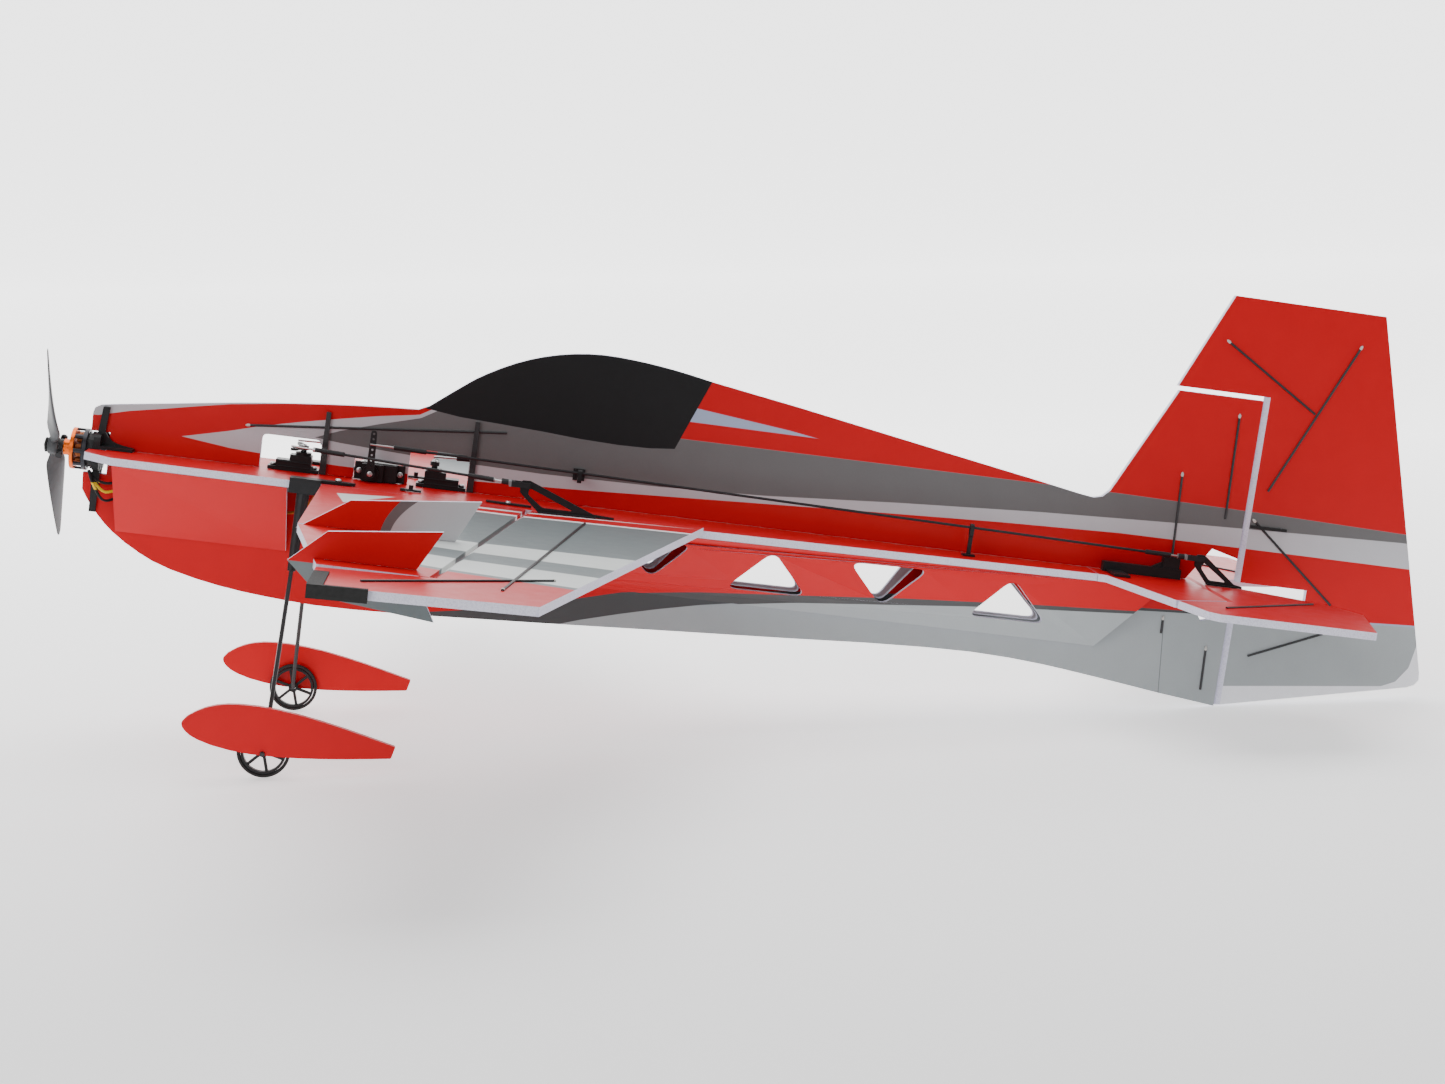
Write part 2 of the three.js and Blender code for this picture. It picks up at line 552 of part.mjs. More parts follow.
// ---- landing gear -------------------------------------------------------------------------
const legTop = new THREE.Vector3(-118, -50, -4);
const legFoot = new THREE.Vector3(WHEEL_X, -92.4, -159.5);
const legAt = (t) => legTop.clone().lerp(legFoot, t).toArray();
const gearMount = cut(
  join(
    box(-127.4, -107.2, -55, -44, SKIN, 4.8),
    box(-127.4, -107.2, -55, -44, -5.2, -SKIN),
    box(-127.4, -107.2, -55, -52.9, -5.2, 4.8),
    sheetXY([[-110, -51.4], [-94, -50], [-86, -48.4], [-85, -46], [-86, -43.8], [-94, -42],
      [-110, -44]], SKIN, 4.6),
    rod([-96.4, -46.4, 4.2], [-96.4, -46.4, 5.6], 2.1, 12),
    rod(legAt(0.005), legAt(0.33), 4.3, 12, 2.7),
  ),
  rod(legAt(0.2), legAt(0.36), 1.85, 12),
  box(-128, -106, -52.6, -40, -SKIN, SKIN),
);
put('gear_mount_left', gearMount, MAT.black);
put('gear_mount_right', flipSide(gearMount), MAT.black);
const legPath = [legAt(0.215), legAt(0.45), legAt(0.7), legAt(0.94),
  [WHEEL_X, -93.4, -164.6], [WHEEL_X, -95.2, -168], [WHEEL_X, -98, WHEEL_Z],
  [WHEEL_X, -103, WHEEL_Z], [WHEEL_X, -109, WHEEL_Z]];
const leg = wire(legPath, 1.45, 44, 10);
put('gear_leg_left', leg, MAT.carbon);
put('gear_leg_right', flipSide(leg), MAT.carbon);

const wheelHub = cut(
  join(
    ringY([[12.9, -1.7], [14.6, -1.7], [14.6, 1.7], [12.9, 1.7], [12.9, -1.7]], 40),
    ringY([[0, -2.6], [3.3, -2.6], [3.3, 2.6], [0, 2.6]], 18),
    ...Array.from({ length: 6 }, (_, i) =>
      box(2.6, 13.2, -0.9, 0.9, -0.95, 0.95).rotateY((i * Math.PI) / 3 + 0.26)),
  ),
  ringY([[0, -6], [1.75, -6], [1.75, 6], [0, 6]], 16),
).translate(WHEEL_X, -WHEEL_Y, WHEEL_Z);
const tyre = ringY([[14.9, -1.9], [16.4, -1.9], [WHEEL_R, -1], [WHEEL_R, 1], [16.4, 1.9],
  [14.9, 1.9], [14.9, -1.9]], 40).translate(WHEEL_X, -WHEEL_Y, WHEEL_Z);
const pantOutline = rounded([...smooth([[-37.6, -154.8], [-74, -146], [-107, -139.9],
  [-133, -138], [-152, -139.8], [-165, -145], [-174.6, -153.6], [-171.5, -159.4],
  [-161, -164.8], [-136, -169.4], [-104, -169.4], [-72, -166.8], [-39.6, -162.8]], 26)], 0.6, 1);
const pant = sheetXZ(pantOutline, -PANT_Y - 1.8, -PANT_Y + 2.2);
const pantPad = (g) => cut(g, rod([WHEEL_X, -PANT_Y - 4, WHEEL_Z], [WHEEL_X, -PANT_Y + 4, WHEEL_Z],
  1.8, 14));
for (const [side, place] of [['left', (g) => g], ['right', flipSide]]) {
  put(`wheel_${side}`, place(wheelHub), MAT.black);
  put(`tyre_${side}`, place(tyre), MAT.rubber);
  put(`wheel_pant_${side}`, place(pantPad(pant)), MAT.red);
}

// ---- servos and linkages ------------------------------------------------------------------
// a small servo, output shaft upwards at the origin, flange on z = 0
function servo() {
  const front = -6;
  const back = front + SERVO.length;
  const half = SERVO.width / 2;
  const middle = (front + back) / 2;
  const flangeHalf = SERVO.flange / 2;
  const screws = [-1, 1].map((s) => [middle + s * (flangeHalf - 3.2), 0]);
  return join(
    box(middle - flangeHalf, middle + flangeHalf, -half, half, 0, 2.2),
    box(front, back, -half + 0.3, half - 0.3, -SERVO.below, SERVO.low),
    box(front, front + 14.5, -half + 0.3, half - 0.3, SERVO.low - 1, SERVO.high - 2),
    rod([0, 0, SERVO.high - 3], [0, 0, SERVO.high], 5.4, 20),
    rod([0, 0, SERVO.high - 1], [0, 0, SERVO.high + 1.4], 2.1, 14),
    ...screws.map(([x, y]) => rod([x, y, 1.8], [x, y, 3.6], 1.9, 12)),
  );
}
const upright = (x) => servo().translate(x, 0, SKIN);
const onSide = new THREE.Matrix4().makeRotationX(Math.PI / 2);
put('aileron_servo', servo().rotateZ(Math.PI).translate(AILERON_SERVO_X, 0, SKIN), MAT.black);
put('rudder_servo', upright(RUDDER_SERVO_X), MAT.black);
put('elevator_servo', servo().applyMatrix4(onSide)
  .translate(ELEVATOR_SERVO_X, -SKIN, ELEVATOR_SERVO_Z), MAT.black);

const SHAFT_TOP = SKIN + SERVO.high + 1.4;
const armHub = (z) => rod([0, 0, z], [0, 0, z + 2.8], 3.2, 16);
const aileronArmTips = [[-5, -19.4], [-5, 19.4]];
const TRIM_TURN = ((AILERON_TRIM * Math.PI) / 180) * 1.03;
const strut = (x, y, z0, z1, wide, narrow) => {
  const reach = Math.hypot(x, y);
  const bar = rounded([[-wide, -wide], [reach + narrow, -narrow], [reach + narrow, narrow],
    [-wide, wide]], 1.6, 3);
  return sheetXY(bar, z0, z1, [
    disc(reach, 0, 0.75, 8), disc(reach - 4, 0, 0.75, 8), disc(reach - 8, 0, 0.75, 8),
  ]).rotateZ(Math.atan2(y, x));
};
put('aileron_servo_arm', join(
  armHub(SHAFT_TOP + GAP),
  ...aileronArmTips.map(([x, y]) => strut(x, y, ARM_Z, ARM_Z + 1.6, 2.6, 1.8)),
).rotateZ(-TRIM_TURN).translate(AILERON_SERVO_X, 0, 0), MAT.black);
put('rudder_servo_arm', join(
  armHub(SHAFT_TOP + GAP),
  strut(0, HORN, ARM_Z, ARM_Z + 1.6, 2.6, 1.8),
).translate(RUDDER_SERVO_X, 0, 0), MAT.black);
const elevatorArm = join(
  armHub(SHAFT_TOP + GAP),
  sheetXY(rounded([[-2.8, -2.8], [HORN + 9.5, -1.9], [HORN + 9.5, 1.9], [-2.8, 2.8]], 1.8, 3),
    ARM_Z, ARM_Z + 1.6,
    Array.from({ length: 7 }, (_, i) => disc(5.6 + 3.6 * i, 0, 0.8, 8))),
).rotateZ(Math.PI / 2);
put('elevator_servo_arm', elevatorArm.applyMatrix4(onSide)
  .translate(ELEVATOR_SERVO_X, 0, ELEVATOR_SERVO_Z), MAT.black);

// pushrods: wire hook, sleeve, carbon rod, sleeve and a forked clevis round the horn
const lerp3 = (a, b, t) => a.map((v, i) => v + (b[i] - v) * t);
function pushrod(from, to, radius, cheek) {
  const long = Math.hypot(...to.map((v, i) => v - from[i]));
  const at = (mm) => lerp3(from, to, mm / long);
  const back = (mm) => lerp3(to, from, mm / long);
  return join(
    rod(at(-1.6), at(26), 0.7, 8),
    rod(at(14), at(36), radius + 0.75, 8),
    rod(at(24), back(30), radius, 8),
    rod(back(40), back(22), radius + 0.75, 8),
    rod(back(32), back(14), 0.7, 8),
    cheek,
    rod(back(17), back(9.6), 1.9, 10),
  );
}
// the fork straddles the horn plate with play on each side; `across` is along the hinge
function fork(to, from, across, thickness, play = GAP) {
  const way = new THREE.Vector3(...from).sub(new THREE.Vector3(...to)).normalize();
  const side = new THREE.Vector3(...across).normalize();
  way.addScaledVector(side, -way.dot(side)).normalize();
  const up = new THREE.Vector3().crossVectors(way, side);
  const frame = new THREE.Matrix4().makeBasis(way, side, up).setPosition(...to);
  return join(
    box(-2.4, 9, 1 + play, 1 + play + thickness, -1.8, 1.8),
    box(-2.4, 9, -1 - play - thickness, -1 - play, -1.8, 1.8),
    box(7.6, 11.5, -1 - play - thickness, 1 + play + thickness, -1.8, 1.8),
  ).applyMatrix4(frame);
}
const ROD_Z = ARM_Z + 1.6 + 0.7 + 0.5;
const AILERON_FORK_PLAY = 2.1; // the swept hinge carries the horn sideways inside its fork
const trimShift = HORN * Math.sin((AILERON_TRIM * Math.PI) / 180);
const tipLeft = [AILERON_SERVO_X + aileronArmTips[0][0], aileronArmTips[0][1], ROD_Z];
const hornLeft = [aileronPin, -AILERON_HORN_Y, HORN];
const aileronRod = pushrod(tipLeft, hornLeft, ROD_R,
  fork(hornLeft, [tipLeft[0], -AILERON_HORN_Y, HORN], [0, 1, 0], 1, AILERON_FORK_PLAY));
put('aileron_pushrod_left', aileronRod.clone().translate(-trimShift, 0, 0), MAT.carbon);
put('aileron_pushrod_right', flipSide(aileronRod).translate(trimShift, 0, 0), MAT.carbon);

const elevatorRodY = -(ARM_Z + 1.6 + 1.2);
const elevatorPin = [ELEVATOR_SERVO_X, elevatorRodY, ELEVATOR_SERVO_Z + HORN];
const elevatorEnd = [ELEVATOR_HINGE_X, -ELEVATOR_HORN_Y, HORN];
put('elevator_pushrod', pushrod(elevatorPin, elevatorEnd, ROD_R,
  fork(elevatorEnd, elevatorPin, [0, 1, 0], 1)), MAT.carbon);
const rudderPin = [RUDDER_SERVO_X, HORN, ROD_Z];
const rudderEnd = [RUDDER_HINGE_X, HORN, RUDDER_HORN_Z];
put('rudder_pushrod', pushrod(rudderPin, rudderEnd, ROD_R,
  fork(rudderEnd, rudderPin, [0, 0, 1], 1)), MAT.carbon);

// guides for the long elevator rod: an eye on a post, tall enough for the rod's rise and fall
const rodPoint = (x) => lerp3(elevatorPin, elevatorEnd,
  (x - elevatorPin[0]) / (elevatorEnd[0] - elevatorPin[0]));
const eyeRing = (y, z) => [
  rounded(rect(y - 2.6, y + 2.6, z - 6.6, z + 2.6), 2.2, 3),
  rounded(rect(y - 1.4, y + 1.4, z - 5.2, z + 1.5), 1.2, 2),
];
{
  const [, y, z] = rodPoint(62);
  const [outer, inner] = eyeRing(y, z);
  put('rod_guide_front', join(
    sheetYZ(outer, 60.6, 63.4, [inner]),
    box(60.6, 63.4, y + 2.2, -SKIN, z - 5, z - 1),
    box(58, 66, -4, -SKIN, z - 7, z + 1),
  ), MAT.black);
}
{
  const [, y, z] = rodPoint(334);
  const [outer, inner] = eyeRing(y, z);
  put('rod_guide_rear', join(
    sheetYZ(outer, 333, 335.6, [inner]),
    box(333, 335.6, y - 1.3, y + 1.3, SKIN, z - 6),
    box(330, 338.6, y - 3, y + 3, SKIN, 4),
  ), MAT.black);
}

// the stiffening posts
for (const [name, x, top] of posts) {
  const bar = [[x - 2.2, SKIN], [x + 2.2, SKIN], [x + 1.6, top], [x - 1.4, top]];
  put(name, join(
    sheetXZ(bar, -SKIN - 2.4, -SKIN),
    sheetXZ(bar, SKIN, SKIN + 2.4),
    rod([x, -SKIN - 1, POST_PIN_Z], [x, SKIN + 1, POST_PIN_Z], 0.9, 8),
  ), MAT.black);
}

// ---- stand it on its wheels and the bottom corner of the fin --------------------------------
const fin = [RUDDER_HINGE_X - HINGE_GAP, -85.6];
const reach = Math.hypot(fin[0] - WHEEL_X, fin[1] - WHEEL_Z);
const slope = Math.atan2(fin[1] - WHEEL_Z, fin[0] - WHEEL_X) + Math.asin(WHEEL_R / reach);
group.rotation.y = slope;
group.updateMatrixWorld(true);
const bounds = new THREE.Box3().setFromObject(group, true);
group.position.set(-(bounds.min.x + bounds.max.x) / 2, -(bounds.min.y + bounds.max.y) / 2,
  -bounds.min.z);
group.updateMatrixWorld(true);
group.userData = { slope: (slope * 180) / Math.PI };

export default group;
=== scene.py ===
"""A flat-foam radio controlled aeroplane: its printed foam, fittings, motor, wheels and rods."""

import math
import bmesh
import bpy
import numpy as np
from mathutils import Matrix


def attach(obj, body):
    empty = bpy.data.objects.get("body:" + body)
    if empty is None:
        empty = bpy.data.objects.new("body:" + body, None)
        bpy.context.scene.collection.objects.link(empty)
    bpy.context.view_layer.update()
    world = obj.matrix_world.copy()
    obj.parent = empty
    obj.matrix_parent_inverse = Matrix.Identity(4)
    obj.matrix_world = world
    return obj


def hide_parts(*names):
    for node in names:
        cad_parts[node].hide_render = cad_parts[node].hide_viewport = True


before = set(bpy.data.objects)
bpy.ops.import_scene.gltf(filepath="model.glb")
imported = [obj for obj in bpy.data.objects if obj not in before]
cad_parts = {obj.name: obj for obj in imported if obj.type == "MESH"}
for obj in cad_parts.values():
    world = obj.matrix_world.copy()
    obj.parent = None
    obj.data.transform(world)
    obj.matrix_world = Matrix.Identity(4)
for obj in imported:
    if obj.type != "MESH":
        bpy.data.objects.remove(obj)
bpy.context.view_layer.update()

# ---- the aeroplane's own axes -----------------------------------------------------------------
# x runs from nose to tail along the flat plate, y to the right wing, z up; all in millimetres.
SLOPE = 0.15311578556536784
SHIFT = np.array([-182.184750843930, 0.0, 165.4941925626359])
TURN = np.array([
    [math.cos(SLOPE), 0, math.sin(SLOPE)],
    [0, 1, 0],
    [-math.sin(SLOPE), 0, math.cos(SLOPE)],
])
HALF = 2.5
HINGE_A = np.array([28.0, -60.0, 0.0])
HINGE_B = np.array([-24.0, -376.0, 0.0])
HINGE_SWEEP = 52 / 316
AILERON_TRIM = math.radians(1.2)
WHEEL = np.array([-121.5, -99.6, -168.8])
PROP_X = -289.5
PROP_R = 85.0
PROP_TURN = math.radians(36.5)
BLADE_SEAT = 0.25
PROP_PITCH = 95.0
BELL_FACE = -274.5


def stand(points):
    """Turns points from the aeroplane's axes, in mm, into metres in the standing frame."""
    return (np.asarray(points, float) @ TURN.T + SHIFT) / 1000


def mirrored(points):
    """The same points on the other side of the middle plane."""
    return np.asarray(points, float) * [1, -1, 1]


def about(points, origin, axis, angle):
    """Rodrigues turn: p cos a + (k x p) sin a + k (k . p)(1 - cos a), about origin."""
    k = np.asarray(axis, float) / np.linalg.norm(axis)
    p = np.asarray(points, float) - origin
    spun = p * math.cos(angle) + np.cross(k, p) * math.sin(angle)
    return spun + np.outer(p @ k, k) * (1 - math.cos(angle)) + origin


def on_aileron(points, side):
    """Points given on the flat left aileron, turned with its rest angle; side 1 is the right."""
    angle = AILERON_TRIM if side < 0 else -AILERON_TRIM
    turned = about(points, HINGE_A, HINGE_B - HINGE_A, angle)
    return turned if side < 0 else mirrored(turned)


# ---- camera and lamps -------------------------------------------------------------------------
def camera():
    """A camera at the wing's height, a little ahead of the middle, facing the left side."""
    data = bpy.data.cameras.new("camera")
    data.sensor_width, data.lens = 36, 57.3
    data.clip_end = 100
    seat = bpy.data.objects.new("camera", data)
    right = (0.99603, -0.0867, -0.01999)
    up = (0.03261, 0.14676, 0.98864)
    ahead = (0.08278, 0.98537, -0.14901)
    at = (-0.15116, -1.56973, 0.36651)
    rows = [(right[i], up[i], -ahead[i], at[i]) for i in range(3)]
    seat.matrix_world = Matrix(rows + [(0, 0, 0, 1)])
    bpy.context.scene.collection.objects.link(seat)
    bpy.context.scene.camera = seat


def area_light(name, at, toward, size, power):
    """A square soft light at one point that faces another."""
    data = bpy.data.lights.new(name, "AREA")
    data.size, data.energy = size, power
    lamp = bpy.data.objects.new(name, data)
    way = np.array(toward, float) - at
    way /= np.linalg.norm(way)
    side = np.cross(way, (0, 0, 1.0) if abs(way[2]) < 0.95 else (0, 1.0, 0))
    side /= np.linalg.norm(side)
    rise = np.cross(side, way)
    lamp.matrix_world = Matrix([(side[i], rise[i], -way[i], at[i]) for i in range(3)]
                               + [(0, 0, 0, 1)])
    bpy.context.scene.collection.objects.link(lamp)


# ---- shader tools -----------------------------------------------------------------------------
class Val:
    """A number that changes over a surface; arithmetic on it adds Math nodes."""

    def __init__(self, finish, socket):
        self.finish, self.socket = finish, socket

    def _do(self, operation, *others, clamp=False):
        settings = {"operation": operation, "use_clamp": clamp}
        return self.finish.node("Math", settings, [self, *others])

    def __add__(self, other):
        return self._do("ADD", other)

    __radd__ = __add__

    def __sub__(self, other):
        return self._do("SUBTRACT", other)

    def __rsub__(self, other):
        return (self * -1) + other

    def __mul__(self, other):
        return self._do("MULTIPLY", other)

    __rmul__ = __mul__

    def __abs__(self):
        return self._do("ABSOLUTE")

    def least(self, other):
        return self._do("MINIMUM", other)

    def most(self, other):
        return self._do("MAXIMUM", other)

    def over(self, limit, soft=0.3):
        """1 where the number is above limit, 0 below, with a soft step between."""
        return self._do("MULTIPLY_ADD", 1 / soft, _plus(limit, soft), clamp=True) \
            if not isinstance(limit, Val) else (self - limit).over(0, soft)

    def under(self, limit, soft=0.3):
        return 1 - self.over(limit, soft)


def _plus(limit, soft):
    """The constant that centres a soft step on its limit."""
    return 0.5 - limit / soft


SHEEN = 0.2  # how much light a plain surface throws back, a little under the usual half


class Finish:
    """A material under construction, with the aeroplane's own millimetres to paint by."""

    def __init__(self, name, roughness=0.4, metallic=0.0, coat=0.0, coat_roughness=0.1):
        self.material = bpy.data.materials.new(name)
        self.material.use_nodes = True
        self.tree = self.material.node_tree
        self.shader = self.tree.nodes["Principled BSDF"]
        for key, value in (("Roughness", roughness), ("Metallic", metallic),
                           ("Coat Weight", coat), ("Coat Roughness", coat_roughness),
                           ("Specular IOR Level", SHEEN)):
            self.shader.inputs[key].default_value = value
        self.place = self.node("TexCoord", {}, {}, "Object")
        inverse = -(SHIFT @ TURN)
        self.mm = self.node("Mapping", {"vector_type": "POINT"}, {
            "Vector": self.place, "Scale": (1000, 1000, 1000),
            "Rotation": (0, -SLOPE, 0), "Location": tuple(inverse)})
        split = self.parts(self.mm)
        self.x, self.y, self.z = split

    def node(self, kind, settings, inputs, out=0):
        """Adds one node: its settings first, then the values or links of its sockets."""
        made = self.tree.nodes.new("ShaderNode" + kind)
        for key, value in settings.items():
            if key == "curve":
                self._bend(made, value)
            else:
                setattr(made, key, value)
        pairs = inputs.items() if isinstance(inputs, dict) else enumerate(inputs)
        for key, value in pairs:
            self.feed(made.inputs[key], value)
        return Val(self, made.outputs[out])

    def feed(self, socket, value):
        """Links a Val, or sets a number, vector or colour."""
        if isinstance(value, Val):
            self.tree.links.new(value.socket, socket)
        elif isinstance(value, tuple) and socket.type == "RGBA":
            socket.default_value = (*value[:3], 1)
        else:
            socket.default_value = value

    @staticmethod
    def _bend(made, points):
        """Puts straight-line points, all within 0 to 1, into a curve node."""
        line = made.mapping.curves[0].points
        line[0].location, line[1].location = points[0], points[-1]
        for point in points[1:-1]:
            line.new(*point)
        for point in line:
            point.handle_type = "VECTOR"
        made.mapping.update()

    def parts(self, vector):
        """The three numbers of a vector."""
        made = self.tree.nodes.new("ShaderNodeSeparateXYZ")
        self.tree.links.new(vector.socket, made.inputs[0])
        return [Val(self, made.outputs[i]) for i in range(3)]

    def facing(self):
        """The face's direction in the aeroplane's axes, three numbers."""
        normal = self.node("TexCoord", {}, {}, "Normal")
        turned = self.node("Mapping", {"vector_type": "VECTOR"}, {
            "Vector": normal, "Rotation": (0, -SLOPE, 0)})
        return self.parts(turned)

    def follow(self, value, points):
        """A line through points (value, height), straight between them and level beyond."""
        u = np.array([p[0] for p in points], float)
        v = np.array([p[1] for p in points], float)
        low, high = v.min(), max(v.max(), v.min() + 1)
        unit = [((a - u[0]) / (u[-1] - u[0]), (b - low) / (high - low)) for a, b in zip(u, v)]
        along = value._do("MULTIPLY_ADD", 1 / (u[-1] - u[0]), -u[0] / (u[-1] - u[0]), clamp=True)
        made = self.node("FloatCurve", {"curve": unit}, {"Factor": 1.0, "Value": along})
        return made * (high - low) + float(low)

    def inside(self, u, v, corners, soft=0.4):
        """1 inside a convex shape whose corners run anticlockwise: the least signed distance."""
        best = None
        for (a, b), (c, d) in zip(corners, corners[1:] + corners[:1]):
            run = math.hypot(c - a, d - b)
            nu, nv = -(d - b) / run, (c - a) / run
            gap = u * nu + v * nv - (a * nu + b * nv)
            best = gap if best is None else best.least(gap)
        return best.over(0, soft)

    def stroke(self, u, v, start, end, half, soft=0.3):
        """1 within half of the straight line from start to end."""
        (a, b), (c, d) = start, end
        run = math.hypot(c - a, d - b)
        du, dv = (c - a) / run, (d - b) / run
        across = abs((v - b) * du - (u - a) * dv)
        along = (u - a) * du + (v - b) * dv
        return across.under(half, soft) * along.over(0, soft) * along.under(run, soft)

    def paint(self, base, colour, mask):
        """One colour over another where mask is 1."""
        made = self.tree.nodes.new("ShaderNodeMix")
        made.data_type = "RGBA"
        self.feed(made.inputs[0], mask)
        self.feed(made.inputs[6], base)
        self.feed(made.inputs[7], colour)
        return Val(self, made.outputs[2])

    def noise(self, size, detail=3.0, stretch=(1, 1, 1), rough=0.55):
        """Soft random shading; size is in mm and stretch lengthens it along an axis."""
        vector = self.node("Mapping", {}, {
            "Vector": self.mm, "Scale": tuple(1 / (size * s) for s in stretch)})
        return self.node("TexNoise", {}, {
            "Vector": vector, "Scale": 1.0, "Detail": detail, "Roughness": rough})

    def cells(self, size):
        """Distance from the middle of random cells of that size in mm."""
        vector = self.node("Mapping", {}, {"Vector": self.mm, "Scale": (1 / size,) * 3})
        return self.node("TexVoronoi", {}, {"Vector": vector, "Scale": 1.0})

    def shade(self, colour, amount, size=6.0, detail=3.0):
        """Lightens and darkens a colour a little by noise."""
        cloud = self.noise(size, detail)
        tone = self.node("Mix", {"data_type": "RGBA", "blend_type": "MULTIPLY"}, {})
        made = tone.socket.node
        self.feed(made.inputs[0], 1.0)
        self.feed(made.inputs[6], colour)
        grey = self.node("CombineXYZ", {}, [cloud * amount + (1 - amount / 2)] * 3)
        self.tree.links.new(grey.socket, made.inputs[7])
        return Val(self, made.outputs[2])

    def done(self, colour, roughness=None, bump=None, height=0.2, metallic=None):
        """Links the colour, roughness and the bump, whose height is in mm."""
        self.feed(self.shader.inputs["Base Color"], colour)
        if roughness is not None:
            self.feed(self.shader.inputs["Roughness"], roughness)
        if metallic is not None:
            self.feed(self.shader.inputs["Metallic"], metallic)
        if bump is not None:
            lifted = self.node("Bump", {}, {
                "Height": bump, "Distance": height / 1000, "Strength": 1.0})
            self.tree.links.new(lifted.socket, self.shader.inputs["Normal"])
        return self.material


# ---- printed foam -----------------------------------------------------------------------------
RED = (0.52, 0.0, 0.004)
DARK = (0.13, 0.128, 0.13)
SILVER = (0.50, 0.50, 0.53)
PALE = (0.33, 0.355, 0.365)
BLACK = (0.009, 0.009, 0.010)
STEEL_GREY = (0.15, 0.175, 0.182)
LIGHT = (0.60, 0.63, 0.62)
BLUE_GREY = (0.34, 0.41, 0.57)
CHARCOAL = (0.06, 0.06, 0.062)
EDGE = (0.70, 0.69, 0.80)

SPIKE_TOP = [(-206, 16.8), (-175, 24.3), (-155, 30.1), (-129, 36.1), (-103, 41.5), (-76, 46.8),
             (-50, 50.9), (-40, 56.8), (440, 56.8), (500, 55.9), (560, 54.9), (645, 52.8)]
SPIKE_LOW = [(-206, 16.8), (-173, 12.8), (-130, 10.6), (-99, 9.7), (-18, 10.1), (64, 13.2),
             (147, 17.1), (258, 22.3), (357, 26.5), (443, 29.1), (531, 28.9), (650, 28.4)]
DARK_LOW = [(-118, 27), (-101, 25.3), (-46, 22.4), (36, 21), (118, 22), (188, 24.5),
            (285, 31.2), (385, 36.9), (500, 41.7), (560, 43.7), (646, 46.4)]
DARK_TOP = [(-118, 27), (-102, 33.4), (-76, 41.4), (-49, 48.8), (-30, 60), (200, 60)]
CANOPY_LOW = [(-43, 55.5), (-23, 52.9), (5, 51.5), (32, 50.1), (60, 48.1), (87, 47.2),
              (108, 47.6), (125, 49.3)]
NOSE_STRIP = [(-262, 24.3), (-242, 29.5), (-222, 33.3), (-196, 38.6), (-176, 42.4), (-130, 48.6)]
BELLY_RED = [(-60, -88), (-10, -80), (60, -65), (101, -54), (155, -46), (218, -39.5),
             (295, -32), (394, -25), (481, -21), (665, -11.5)]
BELLY_DARK = [(40, -88), (75, -76.6), (102, -69.2), (129, -62.5), (157, -56.4), (184, -51.8),
              (219, -46.2), (267, -40.5), (338, -32.9), (395, -28.3), (481, -22.9), (665, -12.6)]


def side_print(f):
    """The pattern of the upright foam, from the nose strip to the rudder's stripes."""
    x, z = f.x, f.z
    spike_top = f.follow(x, SPIKE_TOP)
    colour = f.paint(RED, SILVER, z.over(f.follow(x, SPIKE_LOW)) * z.under(spike_top)
                     * x.over(-206))
    dark = z.over(f.follow(x, DARK_LOW)) * z.under(f.follow(x, DARK_TOP).least(spike_top))
    colour = f.paint(colour, DARK, dark * x.over(-118))
    colour = f.paint(colour, SILVER, z.over(f.follow(x, NOSE_STRIP)) * x.under(-130))
    colour = f.paint(colour, BLUE_GREY, f.inside(x, z, [
        (132, 69.2), (229, 68.6), (202, 71.6), (167, 76.9), (137.4, 81)]))
    canopy = z.over(f.follow(x, CANOPY_LOW)) * x.over(-46) * x.under((z - 49.3) * 0.405 + 125)
    colour = f.paint(colour, BLACK, canopy)
    return colour, canopy


def belly_print(f):
    """Red above, a charcoal sweep, and pale grey beneath."""
    colour = f.paint(RED, CHARCOAL, f.z.under(f.follow(f.x, BELLY_RED)) * f.x.over(-60))
    colour = f.paint(colour, PALE, f.z.under(f.follow(f.x, BELLY_DARK)) * f.x.over(40))
    seam = f.stroke(f.x, f.z, (484.5, -27), (489, -82), 0.28)
    return f.paint(colour, CHARCOAL, seam * 0.7)


def hinge_strip(f):
    """1 within the bevels along the aileron hinge line."""
    out = abs(f.y)
    run = (f.x - HINGE_A[0] + (out + HINGE_A[1]) * HINGE_SWEEP) * 0.987
    return abs(run).under(6, 0.4) * out.over(58, 0.4) * out.under(372, 0.4)


def foam(name, axis, rule, glossy=0.30, both_bevels=False, squareness=0.88, hinged=False):
    """Foam sheet whose faces across one axis carry print; its cut edges show white cells."""
    f = Finish(name)
    normal = f.facing()[axis]
    across = abs(normal)
    printed = across.over(squareness, 0.06)
    if both_bevels:
        printed = printed.most(normal.over(0.3, 0.1))
    if hinged:
        printed = printed.most(hinge_strip(f))
    ink, matt = rule(f)
    ink = f.shade(ink, 0.10, 22.0, 4.0)
    ink = f.shade(ink, 0.07, 1.1, 2.0)
    cell = f.cells(0.9)
    rim = f.shade(EDGE, 0.16, 0.8, 2.0)
    rim = f.paint(rim, (0.50, 0.48, 0.62), cell.over(0.62, 0.3) * 0.5)
    colour = f.paint(rim, ink, printed)
    satin = f.noise(9.0, 4.0) * 0.16 + glossy
    satin = satin.most(matt * 0.52) if matt is not None else satin
    rough = printed * satin + (1 - printed) * 0.78
    skin = f.noise(1.6, 2.0) * 0.35 + f.noise(14.0, 2.0) * 0.9
    grain = cell * 0.6 + f.noise(0.5, 2.0) * 0.4
    return f.done(colour, rough, printed * skin * 0.35 + (1 - printed) * grain, 0.22)


def upright(f):
    """Spine, fin and rudder above the plate; belly pattern below it."""
    top, canopy = side_print(f)
    return f.paint(belly_print(f), top, f.z.over(-2.6)), canopy


